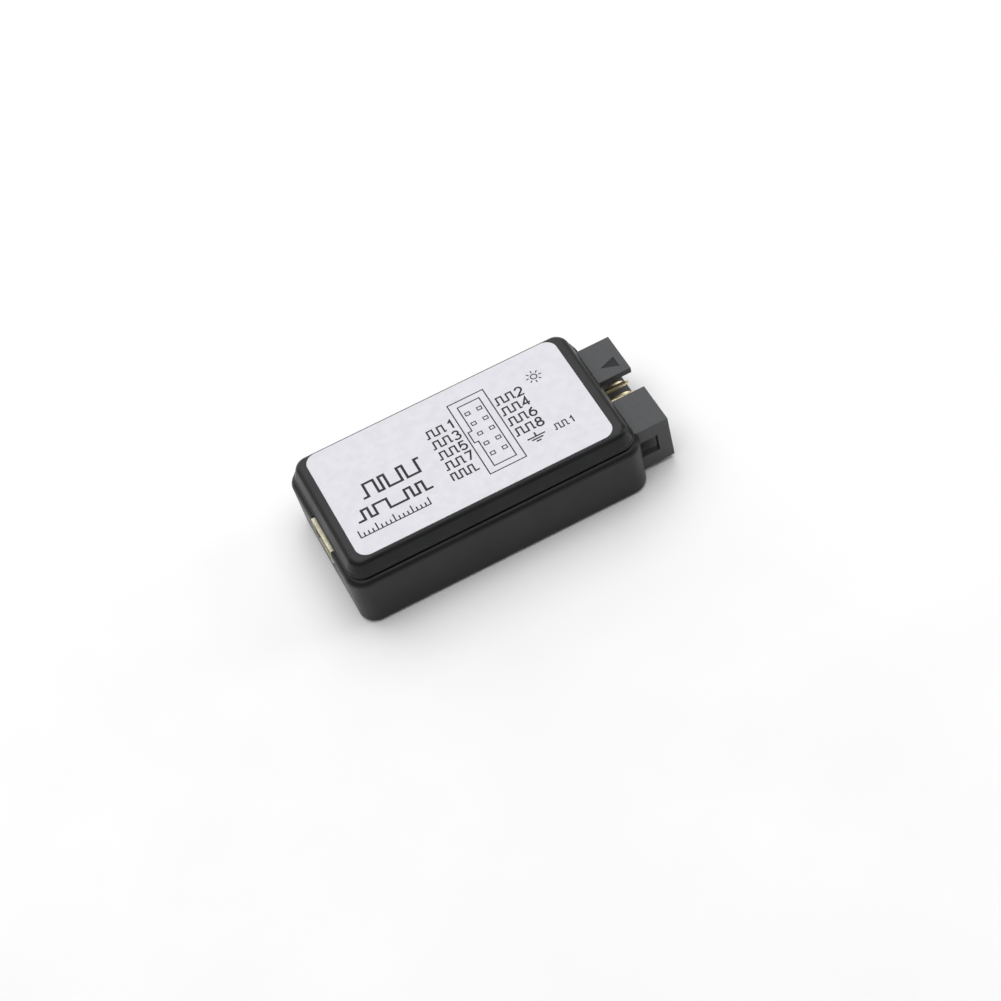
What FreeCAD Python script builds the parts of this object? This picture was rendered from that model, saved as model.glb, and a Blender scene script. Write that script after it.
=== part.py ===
import FreeCAD, Part
import math
import os

import Sketcher

# Pocket logic analyzer: a two-shell snap case around a bare board.
# Frame: +X towards the 2 x 5 pin header, -X towards the USB socket, +Z up.
# The origin is the centre of the case's underside. Lengths are millimetres.

doc = FreeCAD.newDocument("logic_analyzer")
sheet = doc.addObject("Spreadsheet::Sheet", "dim")

# Driving dimensions: alias, value, meaning.
DIMENSIONS = [
    # case, lower half
    ("case_length", 49.6, "outside length of the lower shell at mid-height"),
    ("case_width", 27.0, "outside width of the lower shell at mid-height"),
    ("case_height", 13.3, "underside to the cover's top face"),
    ("corner_radius", 2.8, "upright outer corners of the lower shell, at the foot"),
    ("shell_draft", 2.0, "outward lean of the lower shell's walls, degrees"),
    ("wall", 1.5, "side wall thickness"),
    ("floor", 1.2, "floor thickness"),
    ("shell_height", 10.1, "underside to the outer rim of the lower shell"),
    ("foot_rounding", 0.8, "rounding of the lower shell's bottom edge"),
    ("rim_rounding", 1.1, "rounding of the lower shell's outer rim"),
    ("groove_height", 0.4, "shadow groove between the two shells"),
    ("groove_depth", 0.9, "how far the groove is set back from the wall"),
    ("cutout_gap", 0.15, "clearance around a connector in an end wall"),
    # case, cover
    ("cover_length", 48.6, "outside length of the cover's lip"),
    ("cover_width", 26.0, "outside width of the cover's lip"),
    ("cover_corner", 2.9, "upright outer corners of the cover's lip"),
    ("cover_skirt", 0.5, "height of the lip above the groove"),
    ("lip_step", 0.15, "how far the lip stands out from the crown"),
    ("cover_draft", 20.0, "lean of the cover's sides above the skirt, degrees"),
    ("cover_edge_rounding", 1.2, "rounding around the cover's top face"),
    ("skirt_rounding", 0.2, "rounding of the lip's two edges"),
    ("roof", 1.2, "thickness of the cover's top"),
    ("tongue_gap", 0.15, "clearance of the cover's tongue inside the lower shell"),
    ("tongue_thickness", 0.8, "thickness of the cover's tongue"),
    ("tongue_drop", 1.6, "how far the tongue reaches below the skirt"),
    ("tongue_side_gap", 0.3, "clearance beside a connector in the tongue"),
    ("inner_corner", 1.5, "upright inner corners of both shells"),
    ("filler_inset", 0.3, "set-back of the cover's fillers from the skirt's face"),
    ("filler_thickness", 1.0, "thickness of the fillers over the connectors"),
    ("filler_side_gap", 0.15, "clearance beside a filler"),
    # label
    ("label_length", 43.3, "label size along X"),
    ("label_width", 22.9, "label size along Y"),
    ("label_corner", 2.0, "label corner radius"),
    ("label_thickness", 0.12, "printed film thickness"),
    ("label_shift", -0.15, "label centre along X"),
    # circuit board and its posts
    ("board_thickness", 1.6, "circuit board thickness"),
    ("board_width", 23.2, "circuit board width"),
    ("board_end_gap", 0.3, "board to the USB end's inner wall"),
    ("board_corner", 1.2, "board corner radius"),
    ("post_radius", 1.6, "board support posts"),
    ("post_inset", 2.4, "posts' distance from the board's long and USB edges"),
    ("post_header_inset", 3.7, "posts' distance from the board's header edge"),
    ("peg_radius", 0.9, "locating pegs on the posts"),
    ("peg_hole_radius", 1.05, "peg holes in the board"),
    ("peg_recess", 0.1, "peg tips below the board's top face"),
    ("holder_radius", 1.5, "hold-down posts under the cover"),
    ("holder_gap", 0.1, "hold-down posts above the board"),
    # 2 x 5 box header
    ("header_width", 20.3, "header body along Y"),
    ("header_height", 8.6, "header body along Z"),
    ("header_depth", 9.0, "header body along X"),
    ("header_mouth", 30.3, "X of the header's open face"),
    ("header_bottom", 0.8, "Z of the header's lower face"),
    ("header_base", 2.5, "thickness of the header's closed back"),
    ("header_end_wall", 1.15, "header end walls"),
    ("header_side_wall", 1.1, "header upper and lower walls"),
    ("key_notch_width", 4.5, "polarising notch in the upper wall"),
    ("window_reach", 4.3, "end-wall window length, from the closed back"),
    ("window_height", 3.4, "end-wall window height"),
    ("mark_length", 2.6, "pin 1 triangle along X"),
    ("mark_width", 2.2, "pin 1 triangle along Y"),
    ("mark_depth", 0.2, "depth of the pin 1 triangle"),
    ("mark_from_mouth", 1.3, "triangle's base behind the open face"),
    ("mark_offset", 4.8, "triangle's middle from the middle of the header"),
    ("pin_pitch", 2.54, "pin spacing, both ways"),
    ("pin_side", 0.64, "square pin section"),
    ("pin_recess", 0.8, "pin tips behind the open face"),
    ("pin_tail", 3.0, "pin tails over the board"),
    # USB mini-B socket
    ("usb_width", 7.7, "socket shell width"),
    ("usb_height", 3.9, "socket shell height"),
    ("usb_depth", 9.2, "socket shell depth"),
    ("usb_front", 24.9, "socket front face, distance from the origin along -X"),
    ("usb_shift", -0.9, "socket centre along Y"),
    ("usb_sheet", 0.35, "sheet metal thickness"),
    ("usb_bevel", 1.1, "lower corner bevels of the shell"),
    ("usb_block", 2.0, "insulator block at the socket's back"),
    ("tab_width", 4.4, "insulator tab width"),
    ("tab_thickness", 1.0, "insulator tab thickness"),
    ("tab_reach", 5.2, "insulator tab length in front of the block"),
    ("contact_pitch", 0.8, "USB contact spacing"),
    ("contact_width", 0.35, "USB contact width"),
    ("contact_thickness", 0.2, "USB contact thickness"),
    ("contact_foot", 0.9, "USB contact foot length on the board"),
    # leads of the chips
    ("chip_standoff", 0.1, "gap under a leaded chip"),
    ("lead_thickness", 0.15, "lead thickness"),
    ("lead_shoulder", 0.4, "level part of a lead beside the chip"),
    ("lead_foot", 0.6, "length of a lead's foot"),
    ("memory_pitch", 1.27, "memory chip lead spacing"),
    ("memory_lead_width", 0.42, "memory chip lead width"),
    ("buffer_pitch", 0.65, "buffer chip lead spacing"),
    ("buffer_lead_width", 0.25, "buffer chip lead width"),
    ("regulator_pitch", 2.3, "regulator lead spacing"),
    ("regulator_lead_width", 0.7, "regulator lead width"),
    ("regulator_tab_width", 3.0, "regulator cooling tab width"),
    # crystal
    ("crystal_base_height", 0.8, "plastic base under the crystal can"),
    ("crystal_base_margin", 0.4, "how far the base stands out around the can"),
    ("crystal_can_corner", 1.86, "corner radius of the can, nearly half its width"),
]

# Parts on the board's upper face: name, centre X, centre Y, and sizes along X, Y and Z.
COMPONENTS = [
    ("controller_chip", -3.6, -0.4, 8.0, 8.0, 0.9),
    ("memory_chip", 4.6, -7.6, 4.9, 3.9, 1.45),
    ("buffer_chip", 10.6, 0.0, 4.4, 6.5, 1.0),
    ("regulator", -9.4, -8.0, 6.5, 3.5, 1.6),
    ("crystal", -3.6, 8.2, 11.0, 4.6, 3.5),
    ("power_led", 15.6, 5.5, 1.25, 2.0, 0.8),
    ("channel_led", 15.6, -6.2, 1.25, 2.0, 0.8),
    ("bulk_capacitor_1", -15.4, -8.6, 2.8, 3.5, 1.9),
    ("bulk_capacitor_2", -2.6, -8.6, 3.5, 2.8, 1.9),
    ("ceramic_capacitor_1", -9.8, -2.4, 0.8, 1.6, 0.8),
    ("ceramic_capacitor_2", -9.8, 1.6, 0.8, 1.6, 0.8),
    ("ceramic_capacitor_3", 2.6, -2.6, 0.8, 1.6, 0.8),
    ("ceramic_capacitor_4", 5.2, 7.9, 0.8, 1.6, 0.8),
    ("resistor_array_1", 16.2, 1.9, 1.6, 3.2, 0.6),
    ("resistor_array_2", 16.2, -1.9, 1.6, 3.2, 0.6),
    ("led_resistor_1", 12.6, 6.4, 0.8, 1.6, 0.5),
    ("led_resistor_2", 12.6, -6.4, 0.8, 1.6, 0.5),
    ("usb_fuse", -15.8, 6.6, 3.2, 1.6, 0.8),
    ("ferrite_bead", -12.4, 3.4, 1.25, 2.0, 0.9),
]
for name, *numbers in COMPONENTS:
    for ending, number in zip(("_x", "_y", "_length", "_width", "_height"), numbers):
        DIMENSIONS.append((name + ending, number, f"{name.replace('_', ' ')}, {ending[1:]}"))

for row, (alias, number, meaning) in enumerate(DIMENSIONS, start=1):
    sheet.set(f"A{row}", alias)
    sheet.set(f"B{row}", str(number))
    sheet.set(f"C{row}", meaning)
    sheet.setAlias(f"B{row}", alias)
doc.recompute()

# Levels and faces that follow from the driving dimensions.
SEAT = "(dim.shell_height + dim.groove_height)"
HEADER_CENTRE = "(dim.header_bottom + dim.header_height / 2)"
BOARD_BOTTOM = f"({HEADER_CENTRE} - dim.board_thickness / 2)"
BOARD_TOP = f"({HEADER_CENTRE} + dim.board_thickness / 2)"
HEADER_BACK = "(dim.header_mouth - dim.header_depth)"
HEADER_TOP = "(dim.header_bottom + dim.header_height)"
BOARD_USB_EDGE = "(dim.wall + dim.board_end_gap - dim.case_length / 2)"
BOARD_LENGTH = f"({HEADER_BACK} - {BOARD_USB_EDGE})"
BOARD_CENTRE = f"(({HEADER_BACK} + {BOARD_USB_EDGE}) / 2)"
USB_TOP = f"({BOARD_TOP} + dim.usb_height)"
INNER_LENGTH = "(dim.case_length - 2 * dim.wall)"
INNER_WIDTH = "(dim.case_width - 2 * dim.wall)"
TONGUE_BOTTOM = f"({SEAT} - dim.tongue_drop)"
TONGUE_LENGTH = f"({INNER_LENGTH} - 2 * dim.tongue_gap)"
TONGUE_WIDTH = f"({INNER_WIDTH} - 2 * dim.tongue_gap)"
POST_PLACES = [
    (f"({BOARD_USB_EDGE} + dim.post_inset)", "(dim.post_inset - dim.board_width / 2)"),
    (f"({BOARD_USB_EDGE} + dim.post_inset)", "(dim.board_width / 2 - dim.post_inset)"),
    (f"({HEADER_BACK} - dim.post_header_inset)", "(dim.post_inset - dim.board_width / 2)"),
    (f"({HEADER_BACK} - dim.post_header_inset)", "(dim.board_width / 2 - dim.post_inset)"),
]
PIN_COLUMNS = 5
USB_CONTACTS = 5
OVERRUN = "2"  # how far a cut runs past the faces that it opens

subparts = []


def value(expression):
    """The number that an expression on the sheet gives."""
    result = sheet.evalExpression(expression)
    return float(getattr(result, "Value", result))


def keep(item, label):
    """List an object as a finished sub-part under its own name."""
    item.Label = label
    subparts.append(item)
    return item


# ---- PartDesign helpers -------------------------------------------------


def new_body(name):
    return doc.addObject("PartDesign::Body", name)


def plane_sketch(body, name, offset, role="XY_Plane"):
    """A sketch on one of the body's own origin planes, shifted by three expressions."""
    sketch = body.newObject("Sketcher::SketchObject", name)
    plane = next(item for item in body.Origin.OriginFeatures if item.Role == role)
    sketch.AttachmentSupport = [(plane, "")]
    sketch.MapMode = "FlatFace"
    for axis, expression in zip("xyz", offset):
        sketch.setExpression(f"AttachmentOffset.Base.{axis}", expression)
    return sketch


BOTTOM, RIGHT, TOP, LEFT = range(4)  # a rectangle's sides, in the order they are drawn


def draw_rectangle(sketch, length, width):
    """A rectangle centred on the sketch's origin."""
    half_length = value(length) / 2
    half_width = value(width) / 2
    corners = [
        FreeCAD.Vector(-half_length, -half_width, 0),
        FreeCAD.Vector(half_length, -half_width, 0),
        FreeCAD.Vector(half_length, half_width, 0),
        FreeCAD.Vector(-half_length, half_width, 0),
    ]
    for start, end in zip(corners, corners[1:] + corners[:1]):
        sketch.addGeometry(Part.LineSegment(start, end), False)
    for side in (BOTTOM, RIGHT, TOP, LEFT):
        sketch.addConstraint(Sketcher.Constraint("Coincident", side, 2, (side + 1) % 4, 1))
    sketch.addConstraint(Sketcher.Constraint("Symmetric", BOTTOM, 1, TOP, 1, -1, 1))
    square_and_size(sketch, length, width)


def draw_rounded_rectangle(sketch, length, width, radius):
    """A round-cornered rectangle centred on the sketch's origin."""
    half_length = value(length) / 2
    half_width = value(width) / 2
    corner = value(radius)
    flat_x = half_length - corner
    flat_y = half_width - corner
    lines = [
        ((-flat_x, -half_width), (flat_x, -half_width)),
        ((half_length, -flat_y), (half_length, flat_y)),
        ((flat_x, half_width), (-flat_x, half_width)),
        ((-half_length, flat_y), (-half_length, -flat_y)),
    ]
    for start, end in lines:
        sketch.addGeometry(Part.LineSegment(FreeCAD.Vector(*start, 0), FreeCAD.Vector(*end, 0)), False)
    centres = [(flat_x, -flat_y), (flat_x, flat_y), (-flat_x, flat_y), (-flat_x, -flat_y)]
    quarter = math.pi / 2
    for turn, centre in enumerate(centres):
        circle = Part.Circle(FreeCAD.Vector(*centre, 0), FreeCAD.Vector(0, 0, 1), corner)
        sketch.addGeometry(Part.ArcOfCircle(circle, (turn - 1) * quarter, turn * quarter), False)
    arcs = range(4, 8)
    for side, arc in zip((BOTTOM, RIGHT, TOP, LEFT), arcs):
        sketch.addConstraint(Sketcher.Constraint("Tangent", side, 2, arc, 1))
        sketch.addConstraint(Sketcher.Constraint("Tangent", arc, 2, (side + 1) % 4, 1))
    for arc in arcs[1:]:
        sketch.addConstraint(Sketcher.Constraint("Equal", arcs[0], arc))
    sketch.addConstraint(Sketcher.Constraint("Symmetric", RIGHT, 1, LEFT, 1, -1, 1))
    square_and_size(sketch, length, width)
    rounding = sketch.addConstraint(Sketcher.Constraint("Radius", arcs[0], corner))
    sketch.renameConstraint(rounding, "corner")
    sketch.setExpression("Constraints.corner", radius)


def square_and_size(sketch, length, width):
    """Level and upright sides for a centred rectangle, its sizes tied to the sheet."""
    for side in (BOTTOM, TOP):
        sketch.addConstraint(Sketcher.Constraint("Horizontal", side))
    for side in (RIGHT, LEFT):
        sketch.addConstraint(Sketcher.Constraint("Vertical", side))
    along = sketch.addConstraint(Sketcher.Constraint("DistanceX", LEFT, 1, RIGHT, 1, value(length)))
    across = sketch.addConstraint(Sketcher.Constraint("DistanceY", BOTTOM, 1, TOP, 1, value(width)))
    sketch.renameConstraint(along, "along")
    sketch.renameConstraint(across, "across")
    sketch.setExpression("Constraints.along", length)
    sketch.setExpression("Constraints.across", width)


def draw_circle(sketch, radius):
    """A circle on the sketch's origin."""
    circle = Part.Circle(FreeCAD.Vector(0, 0, 0), FreeCAD.Vector(0, 0, 1), value(radius))
    sketch.addGeometry(circle, False)
    sketch.addConstraint(Sketcher.Constraint("Coincident", 0, 3, -1, 1))
    rounding = sketch.addConstraint(Sketcher.Constraint("Radius", 0, value(radius)))
    sketch.renameConstraint(rounding, "radius")
    sketch.setExpression("Constraints.radius", radius)


def draw_arrowhead(sketch, length, width):
    """An equal-legged triangle that points along local -X, its base centred on the origin."""
    reach = value(length)
    half_width = value(width) / 2
    corners = [
        FreeCAD.Vector(0, -half_width, 0),
        FreeCAD.Vector(0, half_width, 0),
        FreeCAD.Vector(-reach, 0, 0),
    ]
    for start, end in zip(corners, corners[1:] + corners[:1]):
        sketch.addGeometry(Part.LineSegment(start, end), False)
    for line in range(3):
        sketch.addConstraint(Sketcher.Constraint("Coincident", line, 2, (line + 1) % 3, 1))
    sketch.addConstraint(Sketcher.Constraint("Symmetric", 0, 1, 0, 2, -1, 1))
    sketch.addConstraint(Sketcher.Constraint("PointOnObject", 1, 2, -1))
    along = sketch.addConstraint(Sketcher.Constraint("DistanceX", 1, 2, -1, 1, reach))
    across = sketch.addConstraint(Sketcher.Constraint("DistanceY", 0, 1, 0, 2, 2 * half_width))
    sketch.renameConstraint(along, "along")
    sketch.renameConstraint(across, "across")
    sketch.setExpression("Constraints.along", length)
    sketch.setExpression("Constraints.across", width)
    sketch.addConstraint(Sketcher.Constraint("Vertical", 0))


def rise(body, kind, name, sketch, height):
    """Pad or pocket a level sketch upwards by the given height."""
    feature = body.newObject(f"PartDesign::{kind}", name)
    feature.Profile = sketch
    feature.setExpression("Length", height)
    feature.Reversed = kind == "Pocket"
    doc.recompute()
    return feature


def block(body, kind, name, base, height, length, width, radius=None, x="0", y="0"):
    """Add (Pad) or remove (Pocket) an upright block that stands on the level base."""
    sketch = plane_sketch(body, f"{name}_outline", (x, y, base))
    if radius is None:
        draw_rectangle(sketch, length, width)
    else:
        draw_rounded_rectangle(sketch, length, width, radius)
    return rise(body, kind, name, sketch, height)


def column(body, kind, name, base, height, radius, x, y):
    """Add (Pad) or remove (Pocket) an upright round column."""
    sketch = plane_sketch(body, f"{name}_circle", (x, y, base))
    draw_circle(sketch, radius)
    return rise(body, kind, name, sketch, height)


def level_edges(feature, level):
    """Names of the feature's edges that lie flat at one height."""
    height = value(level)
    names = []
    for number, edge in enumerate(feature.Shape.Edges, start=1):
        box = edge.BoundBox
        if abs(box.ZMin - height) < 1e-4 and abs(box.ZMax - height) < 1e-4:
            names.append(f"Edge{number}")
    return names


def round_edges(body, name, feature, edges, radius):
    fillet = body.newObject("PartDesign::Fillet", name)
    fillet.Base = (feature, edges)
    fillet.setExpression("Radius", radius)
    doc.recompute()
    return fillet


# ---- Part helpers -------------------------------------------------------


def box(name, low, size):
    """A Part box from its low corner and its three sizes, all expressions."""
    item = doc.addObject("Part::Box", name)
    for side, expression in zip(("Length", "Width", "Height"), size):
        item.setExpression(side, expression)
    for axis, expression in zip("xyz", low):
        item.setExpression(f"Placement.Base.{axis}", expression)
    return item


def fuse(name, items):
    union = doc.addObject("Part::MultiFuse", name)
    union.Shapes = items
    return union


# ---- Lower shell --------------------------------------------------------


def make_lower_shell():
    """Tray with a stepped rim, board posts, and an open-topped cut in each end wall."""
    body = new_body("lower_shell_body")
    flare = "(dim.shell_height * tan(dim.shell_draft * 1 deg))"
    tray = block(body, "Pad", "shell_tray", "0", "dim.shell_height",
                 f"dim.case_length - {flare}", f"dim.case_width - {flare}", "dim.corner_radius")
    tray.setExpression("TaperAngle", "dim.shell_draft")
    doc.recompute()
    foot = round_edges(body, "shell_foot", tray, level_edges(tray, "0"), "dim.foot_rounding")
    round_edges(body, "shell_rim", foot, level_edges(foot, "dim.shell_height"), "dim.rim_rounding")
    seat_base = "(dim.shell_height - dim.rim_rounding / 2)"
    block(body, "Pad", "shell_seat", seat_base, f"{SEAT} - {seat_base}",
          "dim.case_length - 2 * dim.groove_depth", "dim.case_width - 2 * dim.groove_depth",
          "dim.corner_radius - dim.groove_depth")
    block(body, "Pocket", "shell_hollow", "dim.floor", f"{SEAT} - dim.floor",
          INNER_LENGTH, INNER_WIDTH, "dim.inner_corner")
    header_cut_start = f"({HEADER_BACK} - dim.cutout_gap)"
    header_cut_end = f"(dim.case_length / 2 + {OVERRUN})"
    block(body, "Pocket", "shell_header_cut", "dim.header_bottom - dim.cutout_gap", SEAT,
          f"{header_cut_end} - {header_cut_start}", "dim.header_width + 2 * dim.cutout_gap",
          x=f"({header_cut_end} + {header_cut_start}) / 2")
    block(body, "Pocket", "shell_usb_cut", f"{BOARD_TOP} - dim.cutout_gap", SEAT,
          f"2 * (dim.wall + {OVERRUN})", "dim.usb_width + 2 * dim.cutout_gap",
          x="-dim.case_length / 2", y="dim.usb_shift")
    for number, (x, y) in enumerate(POST_PLACES, start=1):
        column(body, "Pad", f"shell_post_{number}", "dim.floor", f"{BOARD_BOTTOM} - dim.floor",
               "dim.post_radius", x, y)
        column(body, "Pad", f"shell_peg_{number}", BOARD_BOTTOM,
               "dim.board_thickness - dim.peg_recess", "dim.peg_radius", x, y)
    keep(body, "lower_shell")


# ---- Cover and label ----------------------------------------------------


def make_top_cover():
    """Cap with leaning sides, a tongue inside the lower shell and hold-down posts."""
    body = new_body("top_cover_body")
    skirt = block(body, "Pad", "cover_skirt_ring", SEAT, "dim.cover_skirt",
                  "dim.cover_length", "dim.cover_width", "dim.cover_corner")
    lip_edges = level_edges(skirt, SEAT) + level_edges(skirt, f"{SEAT} + dim.cover_skirt")
    round_edges(body, "cover_skirt_edge", skirt, lip_edges, "dim.skirt_rounding")
    crown = block(body, "Pad", "cover_crown", f"{SEAT} + dim.cover_skirt",
                  f"dim.case_height - {SEAT} - dim.cover_skirt",
                  "dim.cover_length - 2 * dim.lip_step", "dim.cover_width - 2 * dim.lip_step",
                  "dim.cover_corner - dim.lip_step")
    crown.setExpression("TaperAngle", "-dim.cover_draft")
    doc.recompute()
    round_edges(body, "cover_top_edge", crown, level_edges(crown, "dim.case_height"),
                "dim.cover_edge_rounding")
    block(body, "Pad", "cover_tongue", TONGUE_BOTTOM, "dim.tongue_drop",
          TONGUE_LENGTH, TONGUE_WIDTH, "dim.inner_corner")
    block(body, "Pocket", "cover_hollow", TONGUE_BOTTOM,
          f"dim.case_height - dim.roof - {TONGUE_BOTTOM}",
          f"{TONGUE_LENGTH} - 2 * dim.tongue_thickness", f"{TONGUE_WIDTH} - 2 * dim.tongue_thickness",
          "dim.inner_corner - dim.tongue_thickness / 2")
    tongue_cut = "2 * (dim.tongue_thickness + dim.tongue_gap)"
    block(body, "Pocket", "cover_header_gap", TONGUE_BOTTOM, "dim.tongue_drop",
          tongue_cut, "dim.header_width + 2 * dim.tongue_side_gap", x=f"{TONGUE_LENGTH} / 2")
    block(body, "Pocket", "cover_usb_gap", TONGUE_BOTTOM, "dim.tongue_drop",
          tongue_cut, "dim.usb_width + 2 * dim.tongue_side_gap",
          x=f"-{TONGUE_LENGTH} / 2", y="dim.usb_shift")
    filler_x = "(dim.cover_length / 2 - dim.filler_inset - dim.filler_thickness / 2)"
    header_level = f"({HEADER_TOP} + dim.cutout_gap)"
    block(body, "Pad", "cover_header_filler", header_level, f"{SEAT} - {header_level}",
          "dim.filler_thickness", "dim.header_width + 2 * (dim.cutout_gap - dim.filler_side_gap)",
          x=filler_x)
    usb_level = f"({USB_TOP} + dim.cutout_gap)"
    block(body, "Pad", "cover_usb_filler", usb_level, f"{SEAT} - {usb_level}",
          "dim.filler_thickness", "dim.usb_width + 2 * (dim.cutout_gap - dim.filler_side_gap)",
          x=f"-{filler_x}", y="dim.usb_shift")
    holder_level = f"({BOARD_TOP} + dim.holder_gap)"
    for number, (x, y) in enumerate(POST_PLACES, start=1):
        column(body, "Pad", f"cover_holder_{number}", holder_level,
               f"dim.case_height - dim.roof - {holder_level}", "dim.holder_radius", x, y)
    keep(body, "top_cover")


def make_label():
    body = new_body("label_body")
    block(body, "Pad", "label_film", "dim.case_height", "dim.label_thickness",
          "dim.label_length", "dim.label_width", "dim.label_corner", x="dim.label_shift")
    keep(body, "label")


# ---- Circuit board ------------------------------------------------------


def make_circuit_board():
    body = new_body("circuit_board_body")
    block(body, "Pad", "board_plate", BOARD_BOTTOM, "dim.board_thickness",
          BOARD_LENGTH, "dim.board_width", "dim.board_corner", x=BOARD_CENTRE)
    for number, (x, y) in enumerate(POST_PLACES, start=1):
        column(body, "Pocket", f"board_hole_{number}", BOARD_BOTTOM, "dim.board_thickness",
               "dim.peg_hole_radius", x, y)
    keep(body, "circuit_board")


# ---- Box header ---------------------------------------------------------


def pin_places():
    """Number, Y and Z of every header pin; the rows lie on both faces of the board."""
    for column_number in range(PIN_COLUMNS):
        for row_number in range(2):
            number = 2 * column_number + row_number + 1
            y = f"({PIN_COLUMNS - 1} / 2 - {column_number}) * dim.pin_pitch"
            z = f"({HEADER_CENTRE} + ({row_number} - 0.5) * dim.pin_pitch)"
            yield number, y, z


def make_header():
    """Shroud with a key notch, end windows, a pin 1 triangle and ten square pins."""
    body = new_body("header_shroud_body")
    block(body, "Pad", "header_block", "dim.header_bottom", "dim.header_height",
          "dim.header_depth", "dim.header_width", x=f"{HEADER_BACK} + dim.header_depth / 2")
    hollow_start = f"({HEADER_BACK} + dim.header_base)"
    hollow_end = f"(dim.header_mouth + {OVERRUN})"
    hollow_length = f"({hollow_end} - {hollow_start})"
    hollow_x = f"({hollow_end} + {hollow_start}) / 2"
    block(body, "Pocket", "header_hollow", "dim.header_bottom + dim.header_side_wall",
          "dim.header_height - 2 * dim.header_side_wall", hollow_length,
          "dim.header_width - 2 * dim.header_end_wall", x=hollow_x)
    block(body, "Pocket", "header_notch", HEADER_CENTRE, "dim.header_height",
          hollow_length, "dim.key_notch_width", x=hollow_x)
    block(body, "Pocket", "header_windows", f"{HEADER_CENTRE} - dim.window_height / 2",
          "dim.window_height", "dim.window_reach", f"dim.header_width + {OVERRUN}",
          x=f"{hollow_start} + dim.window_reach / 2")
    mark = plane_sketch(body, "header_mark_outline",
                        ("dim.header_mouth - dim.mark_from_mouth", "dim.mark_offset",
                         f"{HEADER_TOP} - dim.mark_depth"))
    draw_arrowhead(mark, "dim.mark_length", "dim.mark_width")
    rise(body, "Pocket", "header_mark", mark, f"dim.mark_depth + {OVERRUN}")
    for number, y, z in pin_places():
        block(body, "Pocket", f"header_hole_{number}", f"{z} - dim.pin_side / 2", "dim.pin_side",
              "dim.header_base", "dim.pin_side", x=f"{HEADER_BACK} + dim.header_base / 2", y=y)
    keep(body, "header_shroud")

    tail_end = f"({HEADER_BACK} - dim.pin_tail)"
    for number, y, z in pin_places():
        pin = box(f"pin_{number}",
                  (tail_end, f"{y} - dim.pin_side / 2", f"{z} - dim.pin_side / 2"),
                  (f"dim.header_mouth - dim.pin_recess - {tail_end}", "dim.pin_side", "dim.pin_side"))
        keep(pin, f"header_pin_{number:02d}")


# ---- USB socket ---------------------------------------------------------

USB_MIDDLE = "(dim.usb_depth / 2 - dim.usb_front)"
USB_BACK = "(dim.usb_depth - dim.usb_front)"
BLOCK_FRONT = f"({USB_BACK} - dim.usb_block)"
TAB_BOTTOM = f"({BOARD_TOP} + (dim.usb_height - dim.tab_thickness) / 2)"
CONTACT_LEVEL = f"({TAB_BOTTOM} - dim.contact_thickness)"


def contact_places():
    """Number and Y of every USB contact."""
    for index in range(USB_CONTACTS):
        yield index + 1, f"(dim.usb_shift + ({index} - {USB_CONTACTS - 1} / 2) * dim.contact_pitch)"


def bevel_lower_corners(body, name, feature, level, size):
    """Chamfer the two long lower edges of a socket-shaped block."""
    edges = []
    for edge_name in level_edges(feature, level):
        edge = feature.getSubObject(edge_name)
        if edge.BoundBox.XLength > edge.BoundBox.YLength:
            edges.append(edge_name)
    chamfer = body.newObject("PartDesign::Chamfer", name)
    chamfer.Base = (feature, edges)
    chamfer.setExpression("Size", size)
    doc.recompute()
    return chamfer


def make_usb_shell():
    """Folded sheet tube, open at both ends, narrower along the board."""
    body = new_body("usb_shell_body")
    tube = block(body, "Pad", "usb_tube", BOARD_TOP, "dim.usb_height",
                 "dim.usb_depth", "dim.usb_width", x=USB_MIDDLE, y="dim.usb_shift")
    bevelled = bevel_lower_corners(body, "usb_tube_bevel", tube, BOARD_TOP, "dim.usb_bevel")
    ends = []
    for number, face in enumerate(bevelled.Shape.Faces, start=1):
        if face.BoundBox.XLength < 1e-4:
            ends.append(f"Face{number}")
    hollow = body.newObject("PartDesign::Thickness", "usb_tube_hollow")
    hollow.Base = (bevelled, ends)
    hollow.setExpression("Value", "dim.usb_sheet")
    hollow.Reversed = True
    hollow.Join = "Intersection"
    doc.recompute()
    keep(body, "usb_shell")


def make_usb_insulator():
    """Back block with the contact tab in front of it and a slot for each contact."""
    body = new_body("usb_insulator_body")
    inner_bottom = f"({BOARD_TOP} + dim.usb_sheet)"
    rear = block(body, "Pad", "insulator_block", inner_bottom, "dim.usb_height - 2 * dim.usb_sheet",
                 "dim.usb_block", "dim.usb_width - 2 * dim.usb_sheet",
                 x=f"{BLOCK_FRONT} + dim.usb_block / 2", y="dim.usb_shift")
    bevel_lower_corners(body, "insulator_bevel", rear, inner_bottom, "dim.usb_bevel")
    block(body, "Pad", "insulator_tab", TAB_BOTTOM, "dim.tab_thickness",
          "dim.tab_reach", "dim.tab_width", x=f"{BLOCK_FRONT} - dim.tab_reach / 2", y="dim.usb_shift")
    for number, y in contact_places():
        block(body, "Pocket", f"insulator_slot_{number}", CONTACT_LEVEL, "dim.contact_thickness",
              "dim.usb_block", "dim.contact_width", x=f"{BLOCK_FRONT} + dim.usb_block / 2", y=y)
    keep(body, "usb_insulator")


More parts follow.
